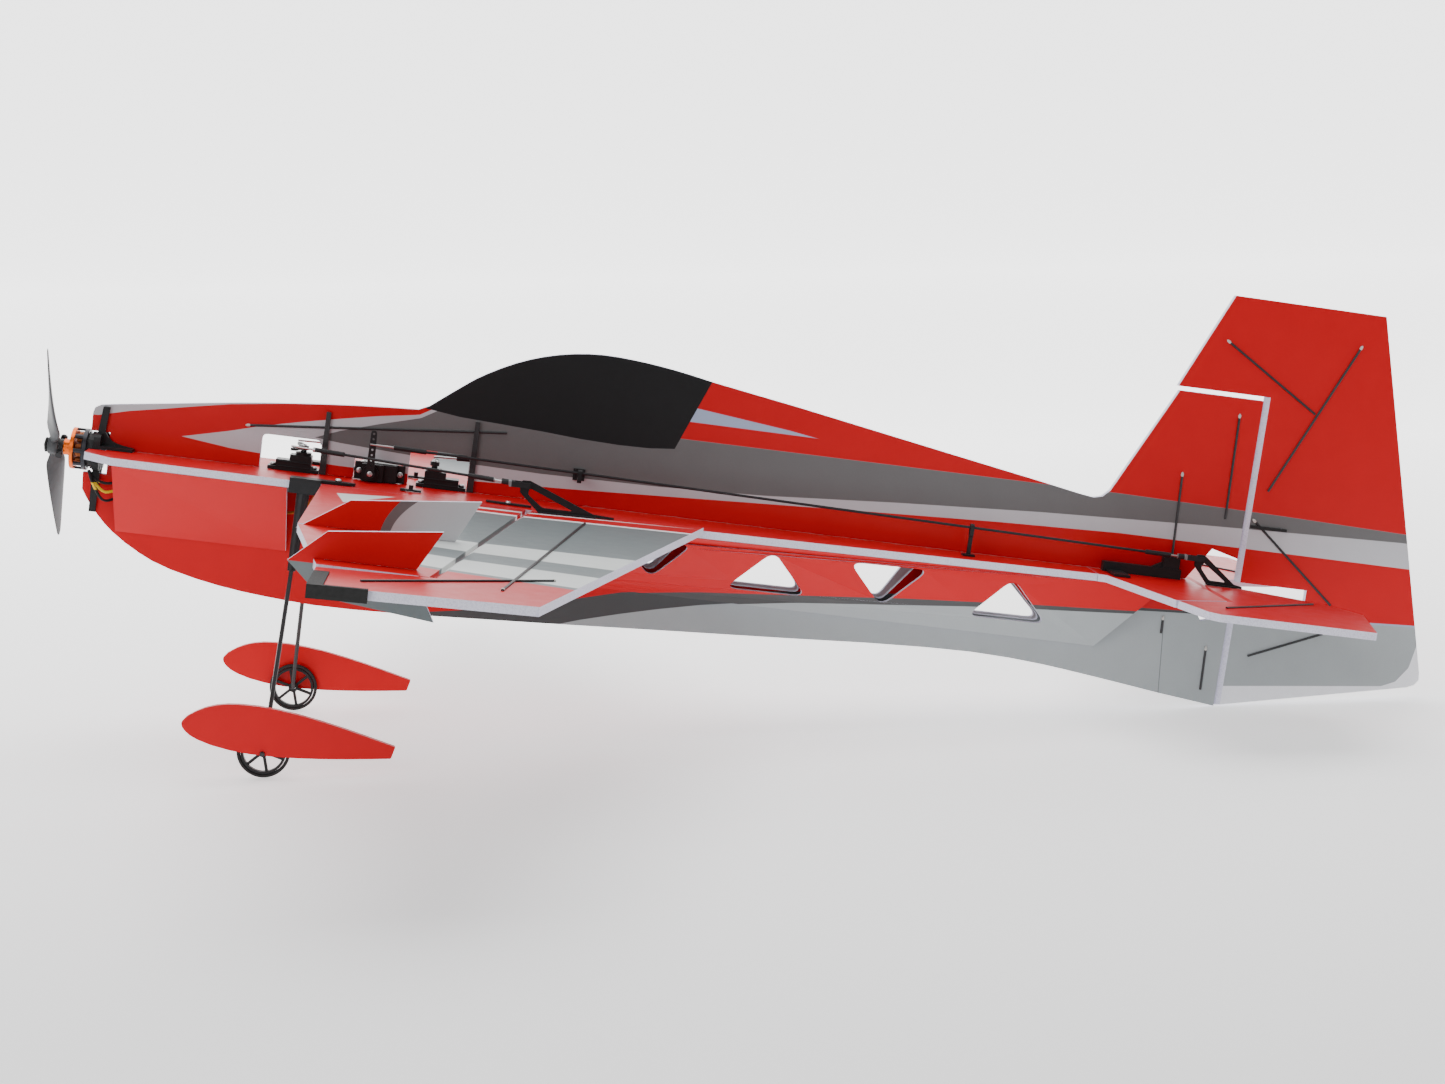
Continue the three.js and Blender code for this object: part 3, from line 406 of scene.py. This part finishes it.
def rudder_rule(f):
    """The side stripes above, pale grey below, and a white unprinted strip at the foot."""
    top, _ = side_print(f)
    line = f.follow(f.x, [(481, -21), (665, -11.5)])
    colour = f.paint(PALE, top, f.z.over(line))
    colour = f.paint(colour, BLUE_GREY, (abs(f.z - line + 0.6)).under(0.7) * 0.7)
    foot = f.follow(f.x, [(531, -71), (650, -57.5), (660, -53), (668, -42), (672, -20)])
    return f.paint(colour, (0.80, 0.80, 0.84), f.z.under(foot)), None


def plate_rule(f):
    """Red on top, pale grey beneath."""
    return f.paint(PALE, RED, f.z.over(0)), None


def panel_rule(f):
    """Belly pattern outside, plain white foam inside."""
    side = f.facing()
    outward = (side[1] * f.y).over(0, 0.4)
    return f.paint((0.74, 0.73, 0.78), belly_print(f), outward), None


def wing_rule(f):
    """Top: red root, pale and thin stripes, grey field, two light bands, red tip.
    Underside: pale grey with a red leading band."""
    x, out = f.x, abs(f.y)
    behind = x.over(-40)
    field = out.over(96.5, 0.8) * out.under(x * 0.325 + 349.6, 0.8) * behind
    colour = f.paint(RED, STEEL_GREY, field)
    for start, rise, end, fall in ((229.2, 0.107, 269.0, 0.208), (300.4, 0.263, 342.4, 0.325)):
        band = out.over(x * rise + start, 0.8) * out.under(x * fall + end, 0.8) * behind
        colour = f.paint(colour, LIGHT, band)
    thin = out.over(x * 0.03 + 90, 0.8) * out.under(x * 0.03 + 95.5, 0.8) * x.over(-6)
    colour = f.paint(colour, (0.85, 0.85, 0.88), thin)
    root = out.over(70.5, 0.8) * out.under(x * -0.045 + 77, 0.8) * x.over(-4)
    colour = f.paint(colour, (0.85, 0.85, 0.88), root)
    colour = f.paint(colour, LIGHT, f.inside(x, out, [(-94, 87), (-57, 72), (-87, 125)], 0.8))
    strip = hinge_strip(f)
    under = f.paint(PALE, RED, x.under(-62))
    return f.paint(under, colour, f.facing()[2].over(0, 0.4).most(strip * f.z.over(-1))), None


def tail_rule(f):
    """Red on top, pale grey beneath."""
    return f.paint(PALE, RED, f.facing()[2].over(0, 0.4)), None


def fin_inner_rule(f):
    """Red front, a dark arc and a silver rear above the wing; grey below.
    The arc's edges are parabolas in height."""
    rise = f.z * f.z
    colour = f.paint(RED, DARK, f.x.over(rise * 0.02 - 57.6))
    colour = f.paint(colour, (0.46, 0.47, 0.49), f.x.over(rise * 0.026 - 52))
    return f.paint(STEEL_GREY, colour, f.z.over(0)), None


def fin_outer_rule(f):
    """Red above the wing and grey below it."""
    return f.paint(STEEL_GREY, RED, f.z.over(0)), None


def pant_rule(f):
    """Plain red."""
    return RED, None


# ---- hard finishes ----------------------------------------------------------------------------
def nylon(name, tone=0.016, rough=0.42):
    """Black moulded nylon with fine pitting."""
    f = Finish(name)
    colour = f.shade((tone, tone, tone * 1.08), 0.35, 1.4, 4.0)
    return f.done(colour, f.noise(2.2, 4.0) * 0.22 + (rough - 0.1), f.noise(0.35, 3.0), 0.05)


def carbon(name):
    """Pultruded carbon rod: fine streaks along its length under a thin resin gloss."""
    f = Finish(name, coat=0.3)
    streak = f.noise(0.3, 3.0, (18, 1, 1))
    colour = f.paint((0.010, 0.010, 0.011), (0.04, 0.04, 0.043), streak)
    return f.done(colour, streak * 0.25 + 0.24, streak, 0.04)


def wire_rod(name, start, end):
    """A pushrod by distance from its front end: bright wire, sleeves, rod, a clevis with a band."""
    f = Finish(name)
    run = f.x - start
    back = end - f.x
    streak = f.noise(0.3, 3.0, (18, 1, 1))
    colour = f.paint((0.010, 0.010, 0.011), (0.035, 0.035, 0.038), streak)
    bare = run.under(14, 0.5).most(back.under(22, 0.5) * back.over(17, 0.5))
    colour = f.paint(colour, (0.55, 0.55, 0.56), bare)
    band = back.over(10.4, 0.3) * back.under(12.4, 0.3)
    colour = f.paint(colour, (0.22, 0.22, 0.23), band)
    wrinkle = f.noise(0.8, 3.0)
    return f.done(colour, (1 - bare) * 0.2 + 0.28 + streak * 0.1, wrinkle, 0.06, bare * 0.95)


def rubber(name, tone=0.012):
    """Matt rubber with a dusty bloom."""
    f = Finish(name)
    bloom = f.noise(2.5, 5.0)
    colour = f.paint((tone,) * 3, (tone * 2.6,) * 3, bloom)
    return f.done(colour, bloom * 0.2 + 0.66, f.noise(0.4, 3.0), 0.08)


def anodised(name):
    """Orange anodised front plate with fine turning marks; dark steel behind it."""
    f = Finish(name, metallic=0.9)
    rings = f.noise(0.25, 2.0, (1, 30, 30))
    colour = f.paint((0.86, 0.16, 0.015), (0.66, 0.10, 0.01), rings)
    colour = f.paint(colour, (0.035, 0.035, 0.04), f.x.over(BELL_FACE, 0.1))
    return f.done(f.shade(colour, 0.2, 3.0), rings * 0.18 + 0.24, rings, 0.02)


def copper(name):
    """Enamelled copper wire laid side by side, with painted shade in the grooves between turns and
    a painted highlight on their crests.
    """
    f = Finish(name, metallic=0.85)
    waves = (f.x * 14.0)._do("SINE")
    # painted shade and painted highlight: darker copper where the bump dips between turns, lighter
    # on the crests
    colour = f.paint((0.30, 0.085, 0.03), (0.62, 0.22, 0.09), waves.over(0, 1.4))
    return f.done(colour, f.noise(0.7) * 0.15 + 0.25, waves, 0.08)


def bright(name):
    """Zinc-plated steel of the small screws."""
    f = Finish(name, metallic=1.0)
    colour = f.shade((0.62, 0.62, 0.63), 0.35, 0.8, 4.0)
    return f.done(colour, f.noise(0.5, 3.0) * 0.25 + 0.2, f.noise(0.3), 0.02)


def prop_plastic(name):
    """Dark grey reinforced plastic with flow marks along the blade."""
    f = Finish(name)
    flow = f.noise(2.2, 4.0, (1, 1, 6))
    colour = f.paint((0.045, 0.047, 0.05), (0.085, 0.088, 0.093), flow)
    return f.done(colour, flow * 0.2 + 0.30, f.noise(0.5, 3.0), 0.03)


def jacket(name, tint, darker):
    """Soft wire jacket, a little dusty."""
    f = Finish(name)
    colour = f.paint(tint, darker, f.noise(1.5, 4.0))
    return f.done(colour, f.noise(1.0) * 0.2 + 0.38, f.noise(0.4), 0.04)


def lead_jackets(name):
    """Three motor leads: the middle one yellow, the outer two black."""
    f = Finish(name)
    middle = f.follow(f.x, [(-256, -22), (-252, -25.4), (-244, -23.9), (-238, -21.9)])
    tint = f.paint((0.013, 0.013, 0.014), (0.80, 0.50, 0.02), abs(f.z - middle).under(2.3))
    return f.done(f.shade(tint, 0.3, 1.5, 4.0), f.noise(1.0) * 0.2 + 0.38, f.noise(0.4), 0.04)


def shrink(name):
    """Glossy black shrink tube, drawn tight over what is inside it."""
    f = Finish(name, coat=0.4)
    lumps = f.noise(3.0, 4.0)
    colour = f.shade((0.014, 0.014, 0.015), 0.3, 2.0)
    return f.done(colour, lumps * 0.22 + 0.2, lumps, 0.5)


def glue(name):
    """Cloudy white glue at the ends of the strips."""
    f = Finish(name, coat=0.3)
    return f.done(f.shade((0.52, 0.50, 0.47), 0.25, 0.9, 4.0), f.noise(0.7) * 0.2 + 0.3,
                  f.noise(0.6, 3.0), 0.15)


NYLON = nylon("black_nylon")
SERVO_CASE = nylon("servo_case", 0.012, 0.36)
CARBON = carbon("carbon_rod")
RUBBER = rubber("black_rubber")
TYRE = rubber("tyre_rubber", 0.014)
ORANGE = anodised("orange_anodised")
COPPER = copper("copper_windings")
BRIGHT = bright("bright_screws")
PROP = prop_plastic("propeller_plastic")
LEADS = lead_jackets("lead_jackets")
BROWN = jacket("orange_jacket", (0.55, 0.16, 0.02), (0.30, 0.07, 0.015))
SHRINK = shrink("shrink_tube")
GLUE = glue("white_glue")

FOAM = {
    "upright": foam("foam_upright", 1, upright),
    "rudder": foam("foam_rudder", 1, rudder_rule),
    "plate": foam("foam_plate", 2, plate_rule),
    "panel": foam("foam_panel", 1, panel_rule, squareness=0.45),
    "wing": foam("foam_wing", 2, wing_rule, 0.28, True, hinged=True),
    "tail": foam("foam_tail", 2, tail_rule, 0.28, True),
    "fin_inner": foam("foam_fin_inner", 1, fin_inner_rule),
    "fin_outer": foam("foam_fin_outer", 1, fin_outer_rule),
    "pant": foam("foam_pant", 1, pant_rule, squareness=-0.5),
}
COATS = {
    "fuselage_upper": FOAM["upright"], "fuselage_lower": FOAM["upright"],
    "fuselage_plate": FOAM["plate"], "belly_panel": FOAM["panel"],
    "wing": FOAM["wing"], "aileron_left": FOAM["wing"], "aileron_right": FOAM["wing"],
    "side_fin_inner": FOAM["fin_inner"], "side_fin_outer": FOAM["fin_outer"],
    "stabiliser": FOAM["tail"], "elevator": FOAM["tail"], "rudder": FOAM["rudder"],
    "wheel_pant": FOAM["pant"], "tip_weight": RUBBER, "prop_ring": RUBBER,
    "motor_leads": LEADS, "servo_lead": BROWN, "speed_controller": SHRINK, "receiver": SHRINK,
    "gear_leg": CARBON, "post": CARBON,
    "aileron_servo": SERVO_CASE, "rudder_servo": SERVO_CASE, "elevator_servo": SERVO_CASE,
    "aileron_servo_arm": NYLON, "rudder_servo_arm": NYLON, "elevator_servo_arm": NYLON,
    "aileron_horn": NYLON, "elevator_horn": NYLON, "rudder_horn": NYLON,
    "aileron_pushrod": wire_rod("aileron_rod", -129.5, 26.85),
    "elevator_pushrod": wire_rod("elevator_rod", -78, 498),
    "rudder_pushrod": wire_rod("rudder_rod", -36, 531),
}


def coat_of(node):
    """The finish whose name is the longest start of the node's name; nylon for the rest."""
    found = [key for key in COATS if node.startswith(key)]
    return COATS[max(found, key=len)] if found else NYLON


def coat_nodes():
    """Gives every carried-over node its finish."""
    for name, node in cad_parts.items():
        node.data.materials.clear()
        node.data.materials.append(coat_of(name))


# ---- surfaces ---------------------------------------------------------------------------------
def quads(rows, columns, wrap):
    """Faces of a grid of rows by columns; wrap joins the last column to the first."""
    r = np.arange(rows - 1)[:, None]
    c = np.arange(columns if wrap else columns - 1)[None, :]
    d = (c + 1) % columns
    corners = [r * columns + c, r * columns + d, (r + 1) * columns + d, (r + 1) * columns + c]
    return np.stack([np.broadcast_to(k, (rows - 1, c.shape[1])) for k in corners], -1) \
        .reshape(-1, 4)


def shell(grids, caps=True):
    """Joins wrapped grids, each (rows, columns, 3), into one list of points and faces."""
    points, faces, start = [], [], 0
    for grid in grids:
        rows, columns = grid.shape[:2]
        points.append(grid.reshape(-1, 3))
        faces += (quads(rows, columns, True) + start).tolist()
        if caps:
            faces.append(list(range(start, start + columns)))
            faces.append(list(range(start + (rows - 1) * columns, start + rows * columns)))
        start += rows * columns
    return np.concatenate(points), faces


def piece(name, points, faces, finish, body, slot, smooth=True):
    """A mesh from points in the aeroplane's mm, with doubles merged and faces outward."""
    mesh = bpy.data.meshes.new(name)
    mesh.from_pydata(stand(points).tolist(), [], faces)
    work = bmesh.new()
    work.from_mesh(mesh)
    bmesh.ops.remove_doubles(work, verts=work.verts, dist=1e-6)
    bmesh.ops.dissolve_degenerate(work, edges=work.edges, dist=1e-7)
    bmesh.ops.recalc_face_normals(work, faces=work.faces)
    work.to_mesh(mesh)
    work.free()
    if smooth:
        mesh.polygons.foreach_set("use_smooth", np.ones(len(mesh.polygons), bool))
        mesh.set_sharp_from_angle(angle=math.radians(38))
    mesh.materials.append(finish)
    made = bpy.data.objects.new(name, mesh)
    bpy.context.scene.collection.objects.link(made)
    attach(made, body)
    return made


def swept(path, half_width, half_height, up, sides=12, squareness=1.0):
    """A rounded bar along a path. Its section is half_width |cos|^k by half_height |sin|^k, with
    k = squareness, laid across the path and along `up`; k under 1 squares its corners."""
    path = np.asarray(path, float)
    way = np.gradient(path, axis=0)
    way /= np.linalg.norm(way, axis=1, keepdims=True)
    rise = np.asarray(up, float) - way * (way @ np.asarray(up, float))[:, None]
    rise /= np.linalg.norm(rise, axis=1, keepdims=True)
    side = np.cross(way, rise)
    a = np.linspace(0, 2 * np.pi, sides, endpoint=False) + 0.01
    c = np.sign(np.cos(a)) * np.abs(np.cos(a)) ** squareness
    s = np.sign(np.sin(a)) * np.abs(np.sin(a)) ** squareness
    w = np.broadcast_to(half_width, len(path))[:, None, None]
    h = np.broadcast_to(half_height, len(path))[:, None, None]
    return path[:, None] + side[:, None] * w * c[None, :, None] \
        + rise[:, None] * h * s[None, :, None]


def straight(start, end, count=6):
    """Evenly spaced points from start to end."""
    return np.linspace(np.asarray(start, float), np.asarray(end, float), count)


def lathe(profile, origin, axis, sides=48):
    """A profile of (radius, height) turned about an axis through origin:
    point = origin + axis h + r (u cos a + v sin a)."""
    axis = np.asarray(axis, float) / np.linalg.norm(axis)
    helper = np.array([0, 0, 1.0]) if abs(axis[2]) < 0.8 else np.array([1.0, 0, 0])
    u = np.cross(axis, helper)
    u /= np.linalg.norm(u)
    v = np.cross(axis, u)
    a = np.linspace(0, 2 * np.pi, sides, endpoint=False)[None, :, None]
    r = np.array([p[0] for p in profile], float)[:, None, None]
    h = np.array([p[1] for p in profile], float)[:, None, None]
    return np.asarray(origin, float) + axis * h + r * (u * np.cos(a) + v * np.sin(a))


def screw_grid(at, axis, radius, height):
    """A domed screw head. Height = cap (1 - (r/R)^2)^0.5, less a cross recess where either
    |x| or |y| is small, over a grid of radius and angle; a skirt and a flat seat close it."""
    r = np.concatenate([np.linspace(0.0, 1.0, 9), [1.0, 0.0]])
    sides = 32
    a = np.linspace(0, 2 * np.pi, sides, endpoint=False)
    dome = 0.45 + 0.55 * np.sqrt(np.clip(1 - r ** 2, 0, 1))
    flat = np.minimum(np.abs(np.outer(r, np.cos(a))), np.abs(np.outer(r, np.sin(a))))
    slot = (flat < 0.16) & (r < 0.72)[:, None]
    h = dome[:, None] * np.ones(sides) - 0.45 * slot
    h[-2:] = 0
    axis = np.asarray(axis, float) / np.linalg.norm(axis)
    helper = np.array([0, 0, 1.0]) if abs(axis[2]) < 0.8 else np.array([1.0, 0, 0])
    u = np.cross(axis, helper)
    u /= np.linalg.norm(u)
    v = np.cross(axis, u)
    x, y = np.outer(r, np.cos(a)) * radius, np.outer(r, np.sin(a)) * radius
    return np.asarray(at, float) + u * x[..., None] + v * y[..., None] \
        + axis * (h * height)[..., None]


# ---- carbon strips let into the foam ----------------------------------------------------------
SPINE_STRIPS = [((-164, 29.7), (10, 46))]
FIN_STRIPS = [((481, 76.5), (483, 17.8)), ((515, 122), (516.7, 48))]
KEEL_STRIPS = [((483.7, -26), (484, -38)), ((518, -44), (518.8, -75))]
RUDDER_STRIPS = [((498, 172), (568.5, 129)), ((594, 180), (544, 71)), ((537, 50), (603, -4)),
                 ((603, -24), (549, -47))]


def side_strips(name, lines, body):
    """Round rods half sunk in both faces of the upright foam, each with a blob of glue."""
    for side, word in ((-1, "left"), (1, "right")):
        rods, blobs = [], []
        for (x0, z0), (x1, z1) in lines:
            y = side * (HALF + 0.45)
            start, end = np.array([x0, y, z0], float), np.array([x1, y, z1], float)
            rods.append(swept(straight(start, end, 8), 0.85, 0.75, (0, side, 0), 12))
            tip = start + (end - start) / np.linalg.norm(end - start) * 3.4
            grow = np.array([0.2, 1.0, 1.15, 0.9, 0.2])
            blobs.append(swept(straight(start - (tip - start) * 0.25, tip, 5),
                               0.95 * grow, 0.95 * grow, (0, side, 0), 12))
        piece(f"{name}_strips_{word}", *shell(rods), CARBON, body, "carbon")
        piece(f"{name}_glue_{word}", *shell(blobs), GLUE, body, "foam")


def aileron_strips():
    """Two rods on top of each aileron, crossing near the tip."""
    lines = [((66, -100), (15, -392)), ((-57, -405), (43, -345))]
    for side, word in ((-1, "left"), (1, "right")):
        rods, blobs = [], []
        for (x0, y0), (x1, y1) in lines:
            z = HALF + 0.45
            flat = straight((x0, y0, z), (x1, y1, z), 8)
            rods.append(swept(on_aileron(flat, side), 0.85, 0.75, (0, 0, 1), 12))
            ends = straight(flat[-1] - (flat[-1] - flat[0]) * 0.01, flat[-1], 5)
            grow = np.array([0.2, 1.0, 1.15, 0.9, 0.2])
            blobs.append(swept(on_aileron(ends, side), 1.0 * grow, 0.95 * grow, (0, 0, 1), 12))
        piece(f"aileron_strips_{word}", *shell(rods), CARBON, f"aileron_{word}_set", "carbon")
        piece(f"aileron_glue_{word}", *shell(blobs), GLUE, f"aileron_{word}_set", "foam")


def elevator_strips():
    """One rod on top of each half of the elevator."""
    for side, word in ((1, "left"), (-1, "right")):
        flat = straight((486, -128 * side, HALF + 0.45), (568.5, -60 * side, HALF + 0.45), 8)
        piece(f"elevator_strip_{word}", *shell([swept(flat, 0.85, 0.75, (0, 0, 1), 12)]),
              CARBON, "elevator_set", "carbon")


# ---- screws -----------------------------------------------------------------------------------
FLANGE_HOLE = 13.8
SERVO_MIDDLE = 5.75
SERVO_X = {"aileron": -124.5, "rudder": -36, "elevator": -78}
FLANGE_TOP = 5.8
ARM_TOP = 20.2
ELEVATOR_SERVO_Z = 8.9


def screws():
    """Bright screws: two in each servo's flange, one in each arm, one in each gear mount."""
    spots = {"airframe": [], "aileron_arm": [], "rudder_arm": [], "elevator_arm": []}
    for which, way in (("aileron", -1), ("rudder", 1)):
        x = SERVO_X[which]
        middle = x + way * SERVO_MIDDLE
        for side in (-1, 1):
            at = (middle + side * FLANGE_HOLE, 0, FLANGE_TOP)
            spots["airframe"].append((at, (0, 0, 1), 2.05, 1.3))
        spots[f"{which}_arm"].append(((x, 0, ARM_TOP), (0, 0, 1), 1.9, 1.4))
    x = SERVO_X["elevator"]
    for side in (-1, 1):
        at = (x + SERVO_MIDDLE + side * FLANGE_HOLE, -FLANGE_TOP, ELEVATOR_SERVO_Z)
        spots["airframe"].append((at, (0, -1, 0), 2.05, 1.3))
    spots["elevator_arm"].append(((x, -ARM_TOP, ELEVATOR_SERVO_Z), (0, -1, 0), 1.9, 1.4))
    for y in (-46.4, 46.4):
        spots["airframe"].append(((-96.4, y, 5.3), (0, 0, 1), 2.2, 1.4))
        spots["airframe"].append(((16, y - math.copysign(1.6, y), 4.0), (0, 0, 1), 1.9, 1.2))
    for body, heads in spots.items():
        grids = [screw_grid(*head) for head in heads]
        piece(f"screws_{body}", *shell(grids, False), BRIGHT, body, "black_nylon")


def plate_clips():
    """Small black straps on the flat plate, beside the spine and the horn."""
    for side, word in ((-1, "left"), (1, "right")):
        bars = [
            swept(straight((1.4, 43 * side, 3.5), (31.5, 46 * side, 3.5), 10),
                  2.6 * np.sin(np.linspace(0.5, 2.64, 10)) ** 0.5, 0.55, (0, 0, 1), 16, 0.4),
            swept(straight((-56, 37 * side, 3.6), (-42, 37 * side, 3.6), 6), 2.4, 0.7,
                  (0, 0, 1), 16, 0.4),
            swept(straight((-49, 37 * side, 3.2), (-49, 37 * side, 7.0), 5), 1.5, 1.5,
                  (1, 0, 0), 12),
        ]
        piece(f"plate_clips_{word}", *shell(bars), NYLON, "airframe", "black_nylon")


# ---- servos -----------------------------------------------------------------------------------
SERVO_LID = 8.6
LID_STEP = 3.4
SERVO_HALF_WIDTH = 5.75


def servo_trim():
    """Gear-case lids and case ribs laid on the aileron and rudder servos: rounded bars round the
    case.
    """
    def rib(x0, x1, z, y, half):
        return swept(straight((x0, y, z), (x1, y, z), 6), half, 0.35, (0, 1, 0), 12, 0.35)
    bars = []
    for which, way in (("aileron", -1), ("rudder", 1)):
        x = SERVO_X[which]
        low, high = sorted((x - way * 6, x + way * 17.5))
        for y in (-SERVO_HALF_WIDTH, SERVO_HALF_WIDTH):
            for z in (SERVO_LID, SERVO_LID - LID_STEP):
                bars.append(rib(low + 0.4, high - 0.4, z, y, 0.45))
    piece("servo_ribs", *shell(bars), SERVO_CASE, "airframe", "black_nylon")


# ---- propeller and motor ----------------------------------------------------------------------
def blade_grid(turn):
    """One blade, section by section. At distance r from the shaft the section is an ellipse
    (chord/2 cos a, thickness/2 sin a (1 + 0.35 cos a)) turned by atan(pitch / 2 pi r)."""
    t = np.linspace(0, 1, 44)
    r = 2.5 + (PROP_R - 2.5) * t
    blend = np.minimum(1, (r + 3.4) / 16)
    chord = blend * (2.2 + 16.5 * np.sin(np.pi * (0.13 + 0.84 * t)) ** 0.75 * (1 - t / 4))
    thick = 3.4 * (1 - t) ** 1.3 + 0.9
    rounding = np.sqrt(np.clip(1 - ((t - 0.955) / 0.047).clip(0) ** 2, 0.02, 1))
    chord, thick = chord * rounding, thick * (0.4 + 0.6 * rounding)
    twist = np.arctan2(PROP_PITCH, 2 * np.pi * np.maximum(r, 16))[:, None]
    a = np.linspace(0, 2 * np.pi, 36, endpoint=False)[None, :]
    u = chord[:, None] / 2 * np.cos(a) + chord[:, None] * 0.06
    v = thick[:, None] / 2 * np.sin(a) * (1 + 0.35 * np.cos(a))
    y = u * np.cos(twist) - v * np.sin(twist)
    x = u * np.sin(twist) + v * np.cos(twist)
    grid = np.stack([x - BLADE_SEAT, -y, np.broadcast_to(r[:, None], x.shape)], -1)
    return about(grid.reshape(-1, 3), np.zeros(3), (1, 0, 0), turn).reshape(grid.shape) \
        + [PROP_X, 0, 0]


def propeller():
    """Two blades and a hub."""
    hub = lathe([(2.05, -3.4), (5.4, -3.4), (6.1, -2.5), (6.2, 0), (6.1, 2.5), (5.4, 3.4),
                 (2.05, 3.4), (2.05, -3.4)], (PROP_X, 0, 0), (1, 0, 0), 56)
    points, faces = shell([blade_grid(PROP_TURN), blade_grid(PROP_TURN + math.pi)])
    hub_points, hub_faces = shell([hub], False)
    faces += [[i + len(points) for i in face] for face in hub_faces]
    made = piece("propeller_moulding", np.concatenate([points, hub_points]), faces, PROP,
                 "propeller_set", "propeller_plastic")
    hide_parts("propeller")


def motor():
    """A bell with side windows over a wound stator."""
    axis = (1, 0, 0)
    def ring(r0, r1, x0, x1):
        c = 0.25
        return lathe([(r0, x0), (r1 - c, x0), (r1, x0 + c), (r1, x1 - c), (r1 - c, x1),
                      (r0, x1), (r0, x0)], (0, 0, 0), axis, 72)
    rings = [
        ring(12.1, 14.0, -269.2, -266.3),
        ring(4.0, 14.0, -277.2, -274.6),
        ring(1.6, 5.4, -282.5, -277.0),
        ring(0.01, 4.0, -277.0, -270.6),
    ]
    points, faces = shell(rings, False)
    pillars, shaft = [], lathe([(0, -296), (1.2, -296), (1.6, -295.5), (1.6, -277), (0, -277)],
                               (0, 0, 0), axis, 24)
    for k in range(8):
        a = 2 * math.pi * k / 8
        spoke = np.array([[x, 0, 13.05] for x in np.linspace(-275.2, -268.4, 6)])
        up = (0, -math.sin(a), math.cos(a))
        pillars.append(swept(about(spoke, np.zeros(3), axis, a), 1.5, 0.85, up, 12, 0.5))
    bar_points, bar_faces = shell(pillars)
    faces += [[i + len(points) for i in face] for face in bar_faces]
    made = piece("bell_turning", np.concatenate([points, bar_points]), faces, ORANGE,
                 "propeller_set", "anodised_bell")
    piece("motor_shaft", *shell([shaft], False), BRIGHT, "propeller_set", "stator")
    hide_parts("motor_bell")
    coils = []
    for k in range(12):
        a = 2 * math.pi * (k + 0.5) / 12
        coil = np.array([[x, 0, 9.2] for x in np.linspace(-273.6, -264.6, 9)])
        width = 2.1 * np.sin(np.linspace(0.35, 2.79, 9)) ** 0.4
        up = (0, -math.sin(a), math.cos(a))
        coils.append(swept(about(coil, np.zeros(3), axis, a), width, width, up, 14, 0.7))
    piece("motor_windings", *shell(coils), COPPER, "airframe", "stator")


# ---- wheels -----------------------------------------------------------------------------------
def tyres():
    """Round tyres with a shallow groove each side of the tread: radius = R - groove."""
    for side, word in ((1, "left"), (-1, "right")):
        a = np.linspace(0, 2 * np.pi, 41)
        r = 16.05 + 1.12 * np.sign(np.cos(a)) * np.abs(np.cos(a)) ** 0.7
        h = 1.85 * np.sign(np.sin(a)) * np.abs(np.sin(a)) ** 0.8
        r = r - 0.14 * (np.abs(np.abs(h) - 0.75) < 0.16) * (np.cos(a) > 0)
        r[-1], h[-1] = r[0], h[0]
        grid = lathe(list(zip(r, h)), WHEEL * [1, side, 1], (0, 1, 0), 112)
        made = piece(f"tyre_tread_{word}", *shell([grid], False), TYRE,
                     f"wheel_{word}_set", "rubber")
        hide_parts(f"tyre_{word}")


# ---- floor and lights -------------------------------------------------------------------------
GLOW_START, GLOW_RUN, GLOW = -900.0, 2600.0, 2.3
SKY = 0.42
OVERHEAD_POWER, FRONT_POWER = 48, 30


def floor():
    """A pale sheet that runs far back and curves up: height = R - sqrt(R^2 - d^2) past the bend.
    It glows more the farther back it lies."""
    far, bend = 9.0, 4.0
    d = np.concatenate([[-14.0, far], far + bend * np.sin(np.linspace(0, math.pi / 2, 24)[1:]),
                        [far + bend]])
    h = np.concatenate([[0, 0], bend * (1 - np.cos(np.linspace(0, math.pi / 2, 24)[1:])), [16]])
    x = np.array([-26.0, 26.0])
    grid = np.stack(np.broadcast_arrays(x[None, :], d[:, None], h[:, None] - 0.0004), -1)
    mesh = bpy.data.meshes.new("floor")
    mesh.from_pydata(grid.reshape(-1, 3).tolist(), [], quads(len(d), 2, False).tolist())
    mesh.polygons.foreach_set("use_smooth", np.ones(len(mesh.polygons), bool))
    f = Finish("floor_white", roughness=0.85)
    glow = f.y._do("MULTIPLY_ADD", 1 / GLOW_RUN, -GLOW_START / GLOW_RUN, clamp=True)
    f.feed(f.shader.inputs["Emission Color"], f.node("CombineXYZ", {}, [glow] * 3))
    f.shader.inputs["Emission Strength"].default_value = GLOW
    mesh.materials.append(f.done(f.shade((0.86, 0.86, 0.865), 0.02, 900.0)))
    made = bpy.data.objects.new("floor", mesh)
    bpy.context.scene.collection.objects.link(made)


def lights():
    """White surroundings, a broad light above and a softer one from the front left."""
    world = bpy.data.worlds.new("studio")
    world.use_nodes = True
    world.node_tree.nodes["Background"].inputs[0].default_value = (1, 1, 1, 1)
    world.node_tree.nodes["Background"].inputs[1].default_value = SKY
    bpy.context.scene.world = world
    area_light("overhead", (0.0, 0.25, 2.2), (0, 0, 0), 2.0, OVERHEAD_POWER)
    area_light("front", (-1.6, -2.4, 1.5), (0, 0, 0.1), 1.6, FRONT_POWER)


camera()
floor()
lights()
coat_nodes()
side_strips("spine", SPINE_STRIPS, "airframe")
side_strips("fin", FIN_STRIPS, "airframe")
side_strips("keel", KEEL_STRIPS, "airframe")
side_strips("rudder", RUDDER_STRIPS, "rudder_set")
aileron_strips()
elevator_strips()
screws()
plate_clips()
servo_trim()
propeller()
motor()
tyres()
